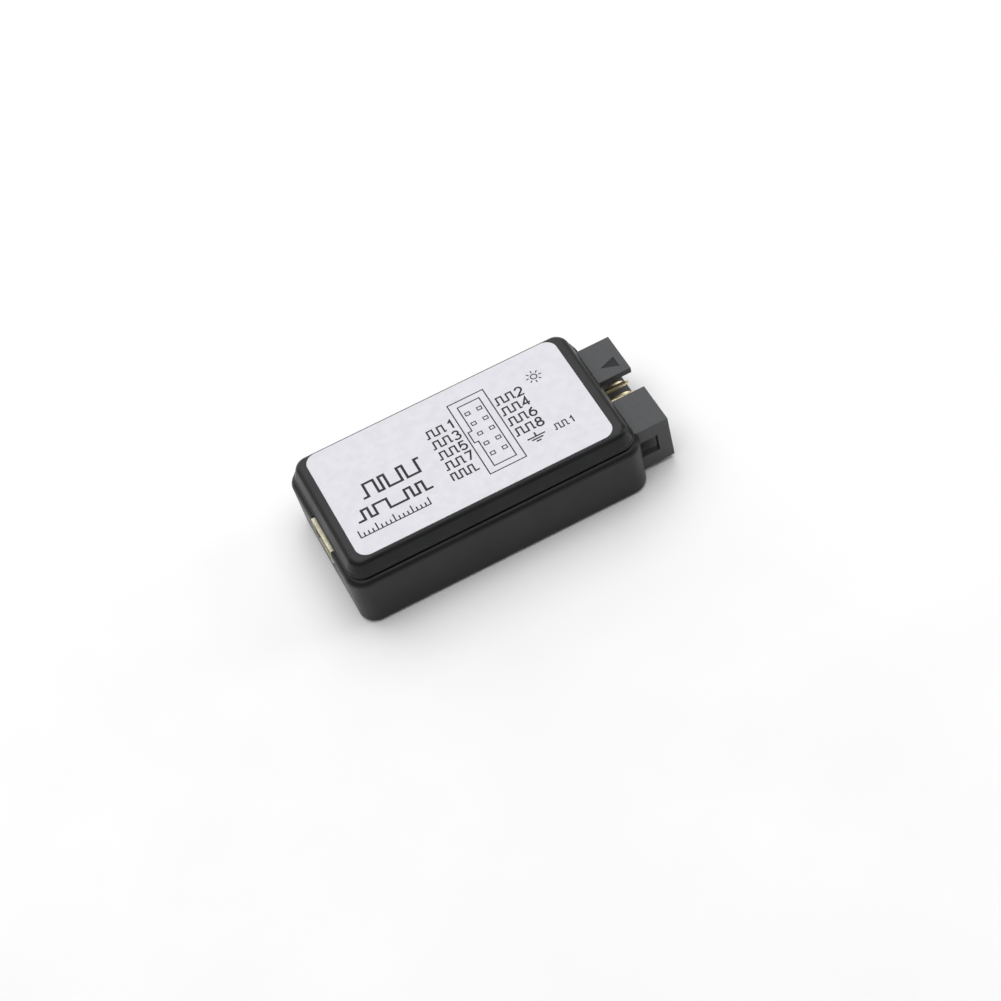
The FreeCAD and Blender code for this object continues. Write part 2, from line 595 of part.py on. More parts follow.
def make_usb_contacts():
    """Each contact runs under the tab, through the block, down to the board and out."""
    for number, y in contact_places():
        near = f"{y} - dim.contact_width / 2"
        strip = box(f"contact_strip_{number}",
                    (f"{BLOCK_FRONT} - dim.tab_reach", near, CONTACT_LEVEL),
                    ("dim.tab_reach + dim.usb_block + dim.contact_thickness",
                     "dim.contact_width", "dim.contact_thickness"))
        leg = box(f"contact_leg_{number}", (USB_BACK, near, BOARD_TOP),
                  ("dim.contact_thickness", "dim.contact_width", f"{CONTACT_LEVEL} - {BOARD_TOP}"))
        foot = box(f"contact_foot_{number}", (USB_BACK, near, BOARD_TOP),
                   ("dim.contact_foot", "dim.contact_width", "dim.contact_thickness"))
        keep(fuse(f"contact_{number}", [strip, leg, foot]), f"usb_contact_{number}")


# ---- Parts on the board -------------------------------------------------


def component_box(name, base, height):
    """A box on the component's own centre and footprint."""
    low = (f"dim.{name}_x - dim.{name}_length / 2", f"dim.{name}_y - dim.{name}_width / 2", base)
    return box(f"{name}_block", low, (f"dim.{name}_length", f"dim.{name}_width", height))


def lead(name, chip, along_x, side, offset, width):
    """One bent lead on a chip's side: level shoulder, upright leg and foot.

    along_x says that the row of leads runs along X, so that the leads point along Y.
    side is 1 or -1, and offset is the lead's place along its row.
    """
    reach_axis, row_axis = ("y", "x") if along_x else ("x", "y")
    half_chip = f"dim.{chip}_{'width' if along_x else 'length'} / 2"
    leg_outside = f"({half_chip} + dim.lead_shoulder)"
    leg_inside = f"({leg_outside} - dim.lead_thickness)"
    foot_end = f"({leg_inside} + dim.lead_foot)"
    level = f"({BOARD_TOP} + dim.{chip}_height / 2)"
    runs = [
        ("shoulder", half_chip, leg_outside, level, "dim.lead_thickness"),
        ("leg", leg_inside, leg_outside, BOARD_TOP, f"{level} - {BOARD_TOP}"),
        ("foot", leg_inside, foot_end, BOARD_TOP, "dim.lead_thickness"),
    ]
    pieces = []
    for run_name, near, far, base, height in runs:
        start = near if side > 0 else f"-{far}"
        reach_low = f"dim.{chip}_{reach_axis} + {start}"
        row_low = f"dim.{chip}_{row_axis} + {offset} - {width} / 2"
        reach_size = f"{far} - {near}"
        if along_x:
            low, size = (row_low, reach_low, base), (width, reach_size, height)
        else:
            low, size = (reach_low, row_low, base), (reach_size, width, height)
        pieces.append(box(f"{name}_{run_name}", low, size))
    return pieces


def lead_row(chip, along_x, side, count, pitch, width):
    """A row of equal leads, centred on the chip's side."""
    pieces = []
    for index in range(count):
        offset = f"({index} - {count - 1} / 2) * {pitch}"
        side_name = "far" if side > 0 else "near"
        pieces += lead(f"{chip}_{side_name}_{index + 1}", chip, along_x, side, offset, width)
    return pieces


def make_leaded_chip(name):
    base = f"({BOARD_TOP} + dim.chip_standoff)"
    keep(component_box(name, base, f"dim.{name}_height"), name)


def make_chips():
    keep(component_box("controller_chip", BOARD_TOP, "dim.controller_chip_height"), "controller_chip")

    make_leaded_chip("memory_chip")
    memory_leads = []
    for side in (1, -1):
        memory_leads += lead_row("memory_chip", True, side, 4, "dim.memory_pitch", "dim.memory_lead_width")
    keep(fuse("memory_lead_set", memory_leads), "memory_leads")

    make_leaded_chip("buffer_chip")
    buffer_leads = []
    for side in (1, -1):
        buffer_leads += lead_row("buffer_chip", False, side, 10, "dim.buffer_pitch", "dim.buffer_lead_width")
    keep(fuse("buffer_lead_set", buffer_leads), "buffer_leads")

    make_leaded_chip("regulator")
    regulator_leads = lead_row("regulator", True, -1, 3, "dim.regulator_pitch", "dim.regulator_lead_width")
    regulator_leads += lead_row("regulator", True, 1, 1, "dim.regulator_pitch", "dim.regulator_tab_width")
    keep(fuse("regulator_lead_set", regulator_leads), "regulator_leads")


def make_crystal():
    """Plastic base with a long metal can that has half-round ends."""
    keep(component_box("crystal", BOARD_TOP, "dim.crystal_base_height"), "crystal_base")
    body = new_body("crystal_can_body")
    block(body, "Pad", "crystal_can_block", f"{BOARD_TOP} + dim.crystal_base_height",
          "dim.crystal_height - dim.crystal_base_height",
          "dim.crystal_length - 2 * dim.crystal_base_margin",
          "dim.crystal_width - 2 * dim.crystal_base_margin",
          "dim.crystal_can_corner", x="dim.crystal_x", y="dim.crystal_y")
    keep(body, "crystal_can")


def make_small_parts():
    """Lights, capacitors, resistors, fuse and bead: blocks that sit on the board."""
    made_above = ("controller_chip", "memory_chip", "buffer_chip", "regulator", "crystal")
    for name, *numbers in COMPONENTS:
        if name not in made_above:
            keep(component_box(name, BOARD_TOP, f"dim.{name}_height"), name)


# ---- Checks and export --------------------------------------------------


def check_document():
    """Stop if any object failed, or if a cut removed nothing."""
    for item in doc.Objects:
        if "Invalid" in item.State or "Error" in item.State:
            raise RuntimeError(f"{item.Name} did not build: {item.State}")
        if item.TypeId == "PartDesign::Pocket":
            before = item.BaseFeature.Shape.Volume
            if item.Shape.Volume > before - 1e-3:
                raise RuntimeError(f"{item.Name} cut nothing")
    for item in subparts:
        if item.Shape.isNull() or not item.Shape.isValid():
            raise RuntimeError(f"{item.Label} has no valid shape")


def export_subparts():
    os.makedirs("parts", exist_ok=True)
    for item in subparts:
        item.Shape.exportStep(f"parts/{item.Label}.step")


make_lower_shell()
make_top_cover()
make_label()
make_circuit_board()
make_header()
make_usb_shell()
make_usb_insulator()
make_usb_contacts()
make_chips()
make_crystal()
make_small_parts()
doc.recompute()
check_document()
export_subparts()
for item in subparts:
    print(f"{item.Label}: {item.Shape.Volume:.2f} mm3, {len(item.Shape.Solids)} solid(s)")
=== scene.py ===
import math

import bmesh
import bpy
from mathutils import Matrix, Vector


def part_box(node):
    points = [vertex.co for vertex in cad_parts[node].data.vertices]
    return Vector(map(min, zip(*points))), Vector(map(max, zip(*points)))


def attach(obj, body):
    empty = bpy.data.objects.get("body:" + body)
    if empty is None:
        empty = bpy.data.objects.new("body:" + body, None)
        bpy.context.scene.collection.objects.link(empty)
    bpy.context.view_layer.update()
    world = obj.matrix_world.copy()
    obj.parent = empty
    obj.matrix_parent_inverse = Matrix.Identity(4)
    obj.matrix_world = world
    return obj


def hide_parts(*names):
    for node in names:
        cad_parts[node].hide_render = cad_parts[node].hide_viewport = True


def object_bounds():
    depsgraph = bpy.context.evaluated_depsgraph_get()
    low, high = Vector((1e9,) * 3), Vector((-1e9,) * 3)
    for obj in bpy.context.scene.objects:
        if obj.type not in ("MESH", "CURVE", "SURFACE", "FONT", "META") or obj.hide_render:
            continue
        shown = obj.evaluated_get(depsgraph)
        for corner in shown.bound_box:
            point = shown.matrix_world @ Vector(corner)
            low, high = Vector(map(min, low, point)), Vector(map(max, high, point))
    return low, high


# A pocket logic analyzer: satin black snap case with a printed white label, a
# 2 x 5 box header at +X, a USB mini-B socket at -X and a bare board inside.
# Everything is in the CAD frame. Meshes are drawn in millimetres and scaled to metres by MM.

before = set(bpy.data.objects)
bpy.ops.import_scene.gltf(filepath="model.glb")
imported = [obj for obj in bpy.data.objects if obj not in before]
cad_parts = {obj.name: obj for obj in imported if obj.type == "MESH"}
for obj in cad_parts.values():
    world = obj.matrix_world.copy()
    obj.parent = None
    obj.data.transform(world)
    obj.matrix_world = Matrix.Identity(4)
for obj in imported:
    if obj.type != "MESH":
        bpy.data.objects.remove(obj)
cad_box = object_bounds()
MM = 0.001

BOARD, COVER = "board", "cover"


# ---- Materials ----------------------------------------------------------


def linear(shade):
    """A colour given as three 0-255 display values, as linear RGBA."""
    channels = []
    for channel in shade:
        display = channel / 255
        channels.append(display / 12.92 if display <= 0.04045 else ((display + 0.055) / 1.055) ** 2.4)
    return (*channels, 1.0)


class Finish:
    """A procedural material: nodes are added by short calls and end at one shader."""

    def __init__(self, name, **sockets):
        self.material = bpy.data.materials.new(name)
        self.material.use_nodes = True
        self.tree = self.material.node_tree
        self.shader = self.tree.nodes["Principled BSDF"]
        for socket, number in sockets.items():
            self.shader.inputs[socket.replace("_", " ")].default_value = number
        self.place = self.tree.nodes.new("ShaderNodeTexCoord").outputs["Object"]

    def node(self, kind, links=(), **settings):
        made = self.tree.nodes.new("ShaderNode" + kind)
        for name, setting in settings.items():
            setattr(made, name, setting)
        for socket, source in links:
            if isinstance(source, bpy.types.NodeSocket):
                self.tree.links.new(source, made.inputs[socket])
            else:
                made.inputs[socket].default_value = source
        return made

    def stretched(self, scale):
        """The piece's own coordinates, scaled per axis, for grain that runs one way."""
        return self.node("Mapping", [("Vector", self.place), ("Scale", scale)]).outputs["Vector"]

    def noise(self, size, detail=3.0, roughness=0.55, stretch=None, distortion=0.0):
        """Cloudy noise whose features are about size millimetres across."""
        place = self.stretched(stretch) if stretch else self.place
        links = [("Vector", place), ("Scale", 1 / (size * MM)), ("Detail", detail),
                 ("Roughness", roughness), ("Distortion", distortion)]
        return self.node("TexNoise", links).outputs["Fac"]

    def spread(self, source, low, high, start=0.0, end=1.0):
        """Maps source from low..high to start..end, clamped."""
        links = [("Value", source), ("From Min", low), ("From Max", high),
                 ("To Min", start), ("To Max", end)]
        return self.node("MapRange", links).outputs["Result"]

    def mix(self, share, first, second):
        made = self.node("Mix", data_type="RGBA")
        colours = [socket for socket in made.inputs if socket.type == "RGBA"]
        for socket, source in ((made.inputs["Factor"], share), (colours[0], first), (colours[1], second)):
            if isinstance(source, bpy.types.NodeSocket):
                self.tree.links.new(source, socket)
            else:
                socket.default_value = source
        return next(socket for socket in made.outputs if socket.type == "RGBA")

    def join(self, operation, first, second):
        return self.node("Math", [(0, first), (1, second)], operation=operation).outputs["Value"]

    def edges(self, radius, low=0.02, high=0.25):
        """1 along hard edges and 0 on flat faces."""
        soft = self.node("Bevel", [("Radius", radius * MM)], samples=6).outputs["Normal"]
        true = self.node("NewGeometry").outputs["Normal"]
        facing = self.node("VectorMath", [(0, soft), (1, true)], operation="DOT_PRODUCT").outputs["Value"]
        return self.spread(self.join("SUBTRACT", 1.0, facing), low, high)

    def relief(self, *layers):
        """Bump layers, each (height source, depth in millimetres)."""
        normal = None
        for height, depth in layers:
            links = [("Height", height), ("Distance", depth * MM), ("Strength", 1.0)]
            if normal is not None:
                links.append(("Normal", normal))
            normal = self.node("Bump", links).outputs["Normal"]
        self.tree.links.new(normal, self.shader.inputs["Normal"])

    def paint(self, colour=None, roughness=None):
        if colour is not None:
            self.tree.links.new(colour, self.shader.inputs["Base Color"])
        if roughness is not None:
            self.tree.links.new(roughness, self.shader.inputs["Roughness"])
        return self.material


def case_plastic():
    """Black ABS with a fine eroded texture, handling polish and paler worn edges."""
    look = Finish("case_black_abs", Specular_IOR_Level=0.32)
    flow = look.noise(9.0, detail=2.0)
    grain = look.noise(0.16, detail=2.0)
    tint = look.mix(look.spread(flow, 0.35, 0.65), linear((18, 19, 19)), linear((23, 24, 24)))
    specked = look.mix(look.spread(grain, 0.3, 0.75, 0.0, 0.35), tint, linear((36, 37, 37)))
    wear = look.join("MULTIPLY", look.edges(0.35), look.spread(look.noise(1.8), 0.42, 0.7, 0.0, 0.6))
    colour = look.mix(wear, specked, linear((74, 75, 76)))
    handled = look.spread(look.noise(6.0, detail=4.0), 0.38, 0.66, 0.42, 0.31)
    roughness = look.join("ADD", handled, look.spread(grain, 0.3, 0.7, -0.04, 0.06))
    look.relief((grain, 0.008), (look.noise(0.6), 0.004))
    return look.paint(colour, roughness)


def header_plastic():
    """Glass-filled black PBT: greyer than the case, with flow streaks along its length."""
    look = Finish("header_black_pbt", Specular_IOR_Level=0.5)
    streaks = look.noise(0.5, detail=3.0, stretch=(5.0, 0.22, 5.0))
    grain = look.noise(0.11, detail=2.0)
    tint = look.mix(look.spread(streaks, 0.36, 0.66), linear((51, 52, 54)), linear((66, 67, 69)))
    colour = look.mix(look.spread(grain, 0.55, 0.75, 0.0, 0.4), tint, linear((95, 96, 98)))
    roughness = look.spread(streaks, 0.3, 0.7, 0.42, 0.56)
    look.relief((streaks, 0.010), (grain, 0.006))
    return look.paint(colour, roughness)


def label_film():
    """White polyester film: cool, faintly mottled, slightly glossy, a little grimy at the edge."""
    look = Finish("label_white_film", Specular_IOR_Level=0.4, Coat_Weight=0.12, Coat_Roughness=0.25)
    mottle = look.noise(1.4, detail=5.0)
    fibre = look.noise(0.12, detail=2.0, stretch=(1.0, 3.0, 1.0))
    clean = look.mix(look.spread(mottle, 0.35, 0.65), linear((213, 213, 219)), linear((219, 219, 225)))
    aged = look.mix(look.spread(fibre, 0.6, 0.8, 0.0, 0.3), clean, linear((204, 204, 209)))
    grime = look.join("MULTIPLY", look.edges(0.25), look.spread(look.noise(2.5), 0.45, 0.7, 0.0, 0.4))
    colour = look.mix(grime, aged, linear((170, 168, 164)))
    roughness = look.spread(mottle, 0.3, 0.7, 0.46, 0.34)
    look.relief((fibre, 0.0015), (look.noise(5.0), 0.006))
    return look.paint(colour, roughness)


def ink():
    """Screen-printed black ink, thin in places."""
    look = Finish("label_ink", Specular_IOR_Level=0.35)
    pinholes = look.noise(0.09, detail=3.0)
    colour = look.mix(look.spread(pinholes, 0.62, 0.8, 0.0, 0.6), linear((28, 28, 32)), linear((92, 92, 98)))
    roughness = look.spread(look.noise(0.7), 0.3, 0.7, 0.5, 0.68)
    look.relief((pinholes, 0.002))
    return look.paint(colour, roughness)


def metal(name, bright, dull, roughness, brushed=None, tarnish=0.5, grain=0.12):
    """A plated metal: bright and dull tints clouded together, with fine brushing or grain."""
    look = Finish(name, Metallic=1.0)
    clouds = look.spread(look.noise(1.3, detail=4.0), 0.4, 0.7, 0.0, tarnish)
    spots = look.spread(look.noise(0.35, detail=2.0), 0.62, 0.75, 0.0, 0.5 * tarnish)
    stained = look.mix(look.join("MAXIMUM", clouds, spots), linear(bright), linear(dull))
    lines = look.noise(grain, detail=2.0, stretch=brushed)
    colour = look.mix(look.spread(lines, 0.35, 0.7, 0.0, 0.25), stained, linear(dull))
    rough = look.join("ADD", look.spread(clouds, 0.0, 1.0, roughness, roughness + 0.2),
                      look.spread(lines, 0.3, 0.7, -0.04, 0.05))
    look.relief((lines, 0.003))
    return look.paint(colour, rough)


def moulding(name, base, fleck, roughness, grain=0.08, depth=0.006, flecks=0.35):
    """A small moulded or fired body: two tints with fine flecks and grain."""
    look = Finish(name, Specular_IOR_Level=0.45)
    cloud = look.noise(0.9, detail=3.0)
    speck = look.noise(grain, detail=2.0)
    tint = look.mix(look.spread(cloud, 0.3, 0.7, 0.0, 0.3), linear(base), linear(fleck))
    colour = look.mix(look.spread(speck, 0.58, 0.72, 0.0, flecks), tint, linear(fleck))
    rough = look.join("ADD", look.spread(cloud, 0.3, 0.7, roughness - 0.06, roughness + 0.06),
                      look.spread(speck, 0.3, 0.7, -0.03, 0.04))
    look.relief((speck, depth))
    return look.paint(colour, rough)


def mask_lacquer(name, deep, pale):
    """Glossy solder mask over the board's glass weave."""
    look = Finish(name, Specular_IOR_Level=0.5, Coat_Weight=0.5, Coat_Roughness=0.12)
    weave = look.join("ADD", look.noise(0.45, detail=1.0, stretch=(1.0, 0.12, 1.0)),
                      look.noise(0.45, detail=1.0, stretch=(0.12, 1.0, 1.0)))
    cloud = look.noise(3.0, detail=3.0)
    tint = look.mix(look.spread(cloud, 0.35, 0.65), linear(deep), linear(pale))
    colour = look.mix(look.spread(weave, 0.9, 1.2, 0.0, 0.3), tint, linear(pale))
    roughness = look.spread(look.noise(0.8), 0.3, 0.7, 0.24, 0.38)
    look.relief((weave, 0.006), (cloud, 0.01))
    return look.paint(colour, roughness)


def lens(name, tint, glow):
    """A tinted epoxy light: two tints clouded together."""
    look = Finish(name, Transmission_Weight=0.35, IOR=1.5, Specular_IOR_Level=0.5)
    cloud = look.noise(0.5, detail=3.0)
    colour = look.mix(look.spread(cloud, 0.35, 0.7), linear(tint), linear(glow))
    roughness = look.spread(cloud, 0.3, 0.7, 0.14, 0.3)
    look.relief((look.noise(0.2), 0.003))
    return look.paint(colour, roughness)


FINISHES = {
    "case_black": case_plastic(),
    "header_black": header_plastic(),
    "label_white": label_film(),
    "ink": ink(),
    "solder_mask": mask_lacquer("solder_mask_blue", (12, 42, 102), (22, 62, 134)),
    "track_mask": mask_lacquer("solder_mask_over_copper", (28, 78, 150), (44, 98, 168)),
    "silkscreen": moulding("silkscreen_white", (228, 230, 228), (196, 200, 200), 0.6, 0.1, 0.003),
    "usb_tin": metal("usb_tinned_steel", (190, 185, 164), (134, 128, 108), 0.36, (1.0, 8.0, 8.0)),
    "pin_plating": metal("pin_flash_over_nickel", (226, 214, 178), (158, 146, 116), 0.24,
                         (1.0, 9.0, 9.0), 0.35),
    "contact_gold": metal("contact_gold_flash", (230, 192, 112), (170, 134, 74), 0.2, (1.0, 9.0, 9.0), 0.3),
    "lead_tin": metal("lead_matte_tin", (196, 197, 198), (140, 141, 143), 0.38, None, 0.5, 0.06),
    "solder": metal("solder_reflowed", (204, 205, 207), (150, 151, 154), 0.2, None, 0.4, 0.2),
    "crystal_steel": metal("crystal_can_nickel", (188, 187, 182), (146, 144, 139), 0.24, (0.6, 6.0, 6.0)),
    "chip_epoxy": moulding("chip_epoxy", (27, 27, 28), (66, 66, 68), 0.62, 0.07, 0.006, 0.4),
    "insulator_black": moulding("insulator_lcp", (22, 22, 23), (52, 52, 54), 0.5, 0.1, 0.005, 0.3),
    "tantalum_yellow": moulding("tantalum_case", (206, 152, 42), (226, 182, 84), 0.45, 0.09, 0.005),
    "ceramic_tan": moulding("capacitor_ceramic", (150, 116, 84), (186, 154, 120), 0.5, 0.06, 0.005),
    "resistor_black": moulding("resistor_glaze", (24, 24, 27), (58, 58, 62), 0.3, 0.1, 0.004),
    "substrate": moulding("alumina_substrate", (214, 212, 204), (184, 182, 174), 0.6, 0.08, 0.005),
    "fuse_green": moulding("fuse_body", (40, 104, 70), (76, 142, 104), 0.4, 0.09, 0.005),
    "ferrite_grey": moulding("ferrite_body", (74, 75, 78), (108, 109, 112), 0.55, 0.06, 0.007, 0.45),
    "led_red": lens("led_red_lens", (168, 24, 18), (236, 92, 70)),
    "led_green": lens("led_green_lens", (40, 132, 48), (124, 214, 96)),
    # pin 1 recess floor: rough, and darker than the header as painted shade in the recess
    "pin_mark": moulding("pin_recess_painted_shade", (30, 31, 32), (52, 53, 54), 0.75, 0.1, 0.01, 0.3),
    "mark_pale": moulding("laser_mark", (150, 150, 148), (118, 118, 116), 0.75, 0.05, 0.002),
    "mark_brown": moulding("polarity_mark", (84, 52, 26), (112, 76, 44), 0.6, 0.06, 0.002),
}


# ---- Mesh helpers: every length from here to the floor is in millimetres --


def corners(node):
    """A CAD node's lowest and highest corners at rest."""
    low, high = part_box(node)
    return low / MM, high / MM


def middle_and_size(node):
    low, high = corners(node)
    return (low + high) / 2, high - low


def piece_from(name, bm, finishes, replaces=(), body=BOARD, sharp=38.0):
    """Turns a bmesh into a piece of the object, smooth except at edges sharper than sharp degrees."""
    bmesh.ops.remove_doubles(bm, verts=bm.verts, dist=0.0005)
    bmesh.ops.recalc_face_normals(bm, faces=bm.faces)
    bmesh.ops.scale(bm, vec=(MM, MM, MM), verts=bm.verts)
    mesh = bpy.data.meshes.new(name)
    bm.to_mesh(mesh)
    bm.free()
    for finish in [finishes] if isinstance(finishes, str) else finishes:
        mesh.materials.append(FINISHES[finish])
    mesh.polygons.foreach_set("use_smooth", [True] * len(mesh.polygons))
    mesh.set_sharp_from_angle(angle=math.radians(sharp))
    piece = bpy.data.objects.new(name, mesh)
    bpy.context.scene.collection.objects.link(piece)
    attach(piece, body)
    if replaces:
        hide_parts(*replaces)


def loft(bm, rings, finish=0, closed=False):
    """A skin over rings of points, with a cap at each end unless it closes on its first ring."""
    rings = [[bm.verts.new(point) for point in ring] for ring in rings]
    faces = [] if closed else [bm.faces.new(rings[0][::-1]), bm.faces.new(rings[-1])]
    following = rings[1:] + rings[:1] if closed else rings[1:]
    for here, there in zip(rings, following):
        for index in range(len(here)):
            faces.append(bm.faces.new((here[index - 1], here[index], there[index], there[index - 1])))
    for face in faces:
        face.material_index = finish
    return faces


def add_block(bm, middle, size, rounding=0.0, segments=2, draft=0.0, finish=0):
    """A block with rounded edges; draft draws its top and bottom in from the mid-height."""
    half = Vector(size) / 2
    levels = [(-half.z, draft), (0.0, 0.0), (half.z, draft)] if draft else [(-half.z, 0.0), (half.z, 0.0)]
    rings = []
    for level, inset in levels:
        x, y = half.x - inset, half.y - inset
        rings.append([Vector(middle) + Vector((across, along, level))
                      for across, along in ((-x, -y), (x, -y), (x, y), (-x, y))])
    faces = loft(bm, rings, finish)
    if rounding:
        edges = dict.fromkeys(edge for face in faces for edge in face.edges)
        hard = [edge for edge in edges if edge.calc_face_angle(0.0) > math.radians(30)]
        bmesh.ops.bevel(bm, geom=hard, offset=rounding, segments=segments, profile=0.5,
                        affect="EDGES", clamp_overlap=True, material=-1)


def add_prism(bm, outline, base, height, finish=0):
    """A prism over a level outline of (x, y) points, from base upwards."""
    loft(bm, [[(x, y, level) for x, y in outline] for level in (base, base + height)], finish)


def arc(centre_x, centre_y, radius_x, radius_y, start, end, steps=8):
    """Points of an arc from start to end degrees, anticlockwise from the right."""
    points = []
    for step in range(steps + 1):
        angle = math.radians(start + (end - start) * step / steps)
        points.append((centre_x + radius_x * math.cos(angle), centre_y + radius_y * math.sin(angle)))
    return points


def circle_outline(middle, radius, steps=24):
    return arc(*middle, radius, radius, 0, 360, steps)[:-1]


def rounded_outline(middle, size, radius, steps=5):
    """Points of a round-cornered rectangle, anticlockwise."""
    points = []
    for quarter, (side_x, side_y) in enumerate(((1, 1), (-1, 1), (-1, -1), (1, -1))):
        centre_x = middle[0] + side_x * (size[0] / 2 - radius)
        centre_y = middle[1] + side_y * (size[1] / 2 - radius)
        points += arc(centre_x, centre_y, radius, radius, 90 * quarter, 90 * quarter + 90, steps)
    return points


def add_stroke(bm, points, width, base, height, finish=0, closed=False):
    """A raised pen line along (x, y) points, with mitred corners."""
    line = [Vector(point) for point in points]
    if closed:
        padded = [line[-1], *line, line[0]]
    else:
        padded = [2 * line[0] - line[1], *line, 2 * line[-1] - line[-2]]
    sections = []
    for before, point, after in zip(padded, padded[1:], padded[2:]):
        arriving = (point - before).normalized()
        leaving = (after - point).normalized()
        along = (arriving + leaving).normalized()
        stretch = 1 / max(0.35, math.sqrt(max(0.0, 1 + arriving.dot(leaving)) / 2))
        across = Vector((-along.y, along.x)) * width / 2 * stretch
        sections.append([(*(point + side * across), base + level * height)
                         for side, level in ((1, 0), (1, 1), (-1, 1), (-1, 0))])
    loft(bm, sections, finish, closed)


# Pen strokes of the digits in a box one unit high. A stroke that ends where it starts is closed.
DIGITS = {
    "0": [arc(0.3, 0.68, 0.3, 0.32, 0, 180) + arc(0.3, 0.32, 0.3, 0.32, 180, 360) + [(0.6, 0.68)]],
    "1": [[(0.1, 0.76), (0.36, 1.0), (0.36, 0.0)]],
    "2": [arc(0.3, 0.7, 0.29, 0.3, 165, -35) + [(0.0, 0.0), (0.62, 0.0)]],
    "3": [arc(0.29, 0.76, 0.26, 0.24, 160, -90, 9), arc(0.29, 0.27, 0.31, 0.27, 90, -155, 9)],
    "4": [[(0.3, 0.3), (0.0, 0.3), (0.44, 1.0), (0.44, 0.0)], [(0.3, 0.3), (0.64, 0.3)]],
    "5": [[(0.56, 1.0), (0.1, 1.0), (0.05, 0.5)] + arc(0.29, 0.32, 0.31, 0.32, 118, -150, 10)],
    "6": [arc(0.3, 0.31, 0.3, 0.31, 170, -190, 14), [(0.0, 0.33), (0.14, 0.75), (0.48, 1.0)]],
    "7": [[(0.0, 1.0), (0.6, 1.0), (0.2, 0.0)]],
    "8": [arc(0.3, 0.76, 0.24, 0.24, -90, 270, 12), arc(0.3, 0.26, 0.3, 0.26, 90, -270, 14)],
    "9": [arc(0.3, 0.69, 0.3, 0.31, -10, 350, 14), [(0.6, 0.67), (0.46, 0.25), (0.12, 0.0)]],
    ".": [[(0.06, -0.01), (0.06, 0.09)]],
}
NARROW = {".": 0.3, "1": 0.72}
DIGIT_ADVANCE, DIGIT_MARGIN = 0.95, 0.17
STROKE_STEP = 0.002


def add_number(bm, text, middle, height, pen, base, thickness, turn=0.0, finish=0):
    """A number in plain pen strokes, centred on a point and lying level.

    Each further stroke of a digit is a little thicker, so that no two tops share a plane where they cross.
    """
    advance = [NARROW.get(digit, DIGIT_ADVANCE) for digit in text]
    reach = -sum(advance) / 2
    cosine, sine = math.cos(turn), math.sin(turn)
    for digit, step in zip(text, advance):
        for layer, stroke in enumerate(DIGITS[digit]):
            points = []
            for across, up in stroke:
                x, y = (reach + DIGIT_MARGIN + across) * height, (up - 0.5) * height
                points.append((middle[0] + x * cosine - y * sine, middle[1] + x * sine + y * cosine))
            add_stroke(bm, points, pen, base, thickness + layer * STROKE_STEP, finish)
        reach += step


def add_bent_strip(bm, middle, axis, side, path, width, thickness, radius, finish=0, steps=4):
    """A folded strip of sheet metal, centred on middle across its length.

    path holds (reach, height) points; reach runs from middle to one side along axis, 0 for X or 1 for Y.
    """
    line = [Vector(point) for point in path]
    centres = [line[0]]
    for before, bend, after in zip(line, line[1:], line[2:]):
        trim = min(radius, (before - bend).length / 2, (after - bend).length / 2)
        start = bend + (before - bend).normalized() * trim
        end = bend + (after - bend).normalized() * trim
        for step in range(steps + 1):
            share = step / steps
            centres.append(start.lerp(bend, share).lerp(bend.lerp(end, share), share))
    centres.append(line[-1])
    sections = []
    for index, centre in enumerate(centres):
        before = centre - centres[max(index - 1, 0)]
        after = centres[min(index + 1, len(centres) - 1)] - centre
        along = (before.normalized() + after.normalized()).normalized()
        across = Vector((-along.y, along.x)) * thickness / 2
        section = []
        for face, edge in ((1, -1), (1, 1), (-1, 1), (-1, -1)):
            reach, height = centre + face * across
            corner = [middle[0], middle[1], height]
            corner[axis] += side * reach
            corner[1 - axis] += edge * width / 2
            section.append(corner)
        sections.append(section)
    loft(bm, sections, finish)


def add_solder(bm, middle, size, base, height, finish=0):
    """A solder joint: a low mound over a pad, steep at its rim and nearly level on top."""
    rings = []
    for share, level in ((1.0, 0.0), (0.97, 0.45), (0.84, 0.8), (0.6, 1.0)):
        extent = (size[0] * share, size[1] * share)
        outline = rounded_outline(middle, extent, min(extent) * 0.32, 3)
        rings.append([(x, y, base + level * height) for x, y in outline])
    loft(bm, rings, finish)


# ---- CAD nodes that stay: softened edges and finishes --------------------


def smooth_shading():
    """A node group that shades a mesh smooth, before its edges are rounded."""
    group = bpy.data.node_groups.new("shade_smooth", "GeometryNodeTree")
    group.interface.new_socket("Geometry", in_out="INPUT", socket_type="NodeSocketGeometry")
    group.interface.new_socket("Geometry", in_out="OUTPUT", socket_type="NodeSocketGeometry")
    source = group.nodes.new("NodeGroupInput")
    target = group.nodes.new("NodeGroupOutput")
    smooth = group.nodes.new("GeometryNodeSetShadeSmooth")
    group.links.new(source.outputs[0], smooth.inputs["Geometry"])
    group.links.new(smooth.outputs[0], target.inputs[0])
    return group


SMOOTH = smooth_shading()


def finish_node(node, finish, rounding, segments=3):
    """Gives a CAD node its finish and, by modifiers only, small roundings on its hard edges."""
    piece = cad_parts[node]
    for material_slot in piece.material_slots:
        material_slot.material = FINISHES[finish]
    weld = piece.modifiers.new("weld", "WELD")
    weld.merge_threshold = 0.001 * MM
    flat = piece.modifiers.new("flat_faces", "DECIMATE")
    flat.decimate_type = "DISSOLVE"
    flat.angle_limit = math.radians(0.5)
    piece.modifiers.new("smooth", "NODES").node_group = SMOOTH
    bevel = piece.modifiers.new("edges", "BEVEL")
    bevel.width = rounding * MM
    bevel.segments = segments
    bevel.limit_method = "ANGLE"
    bevel.angle_limit = math.radians(32)
    normals = piece.modifiers.new("normals", "WEIGHTED_NORMAL")
    normals.keep_sharp = False


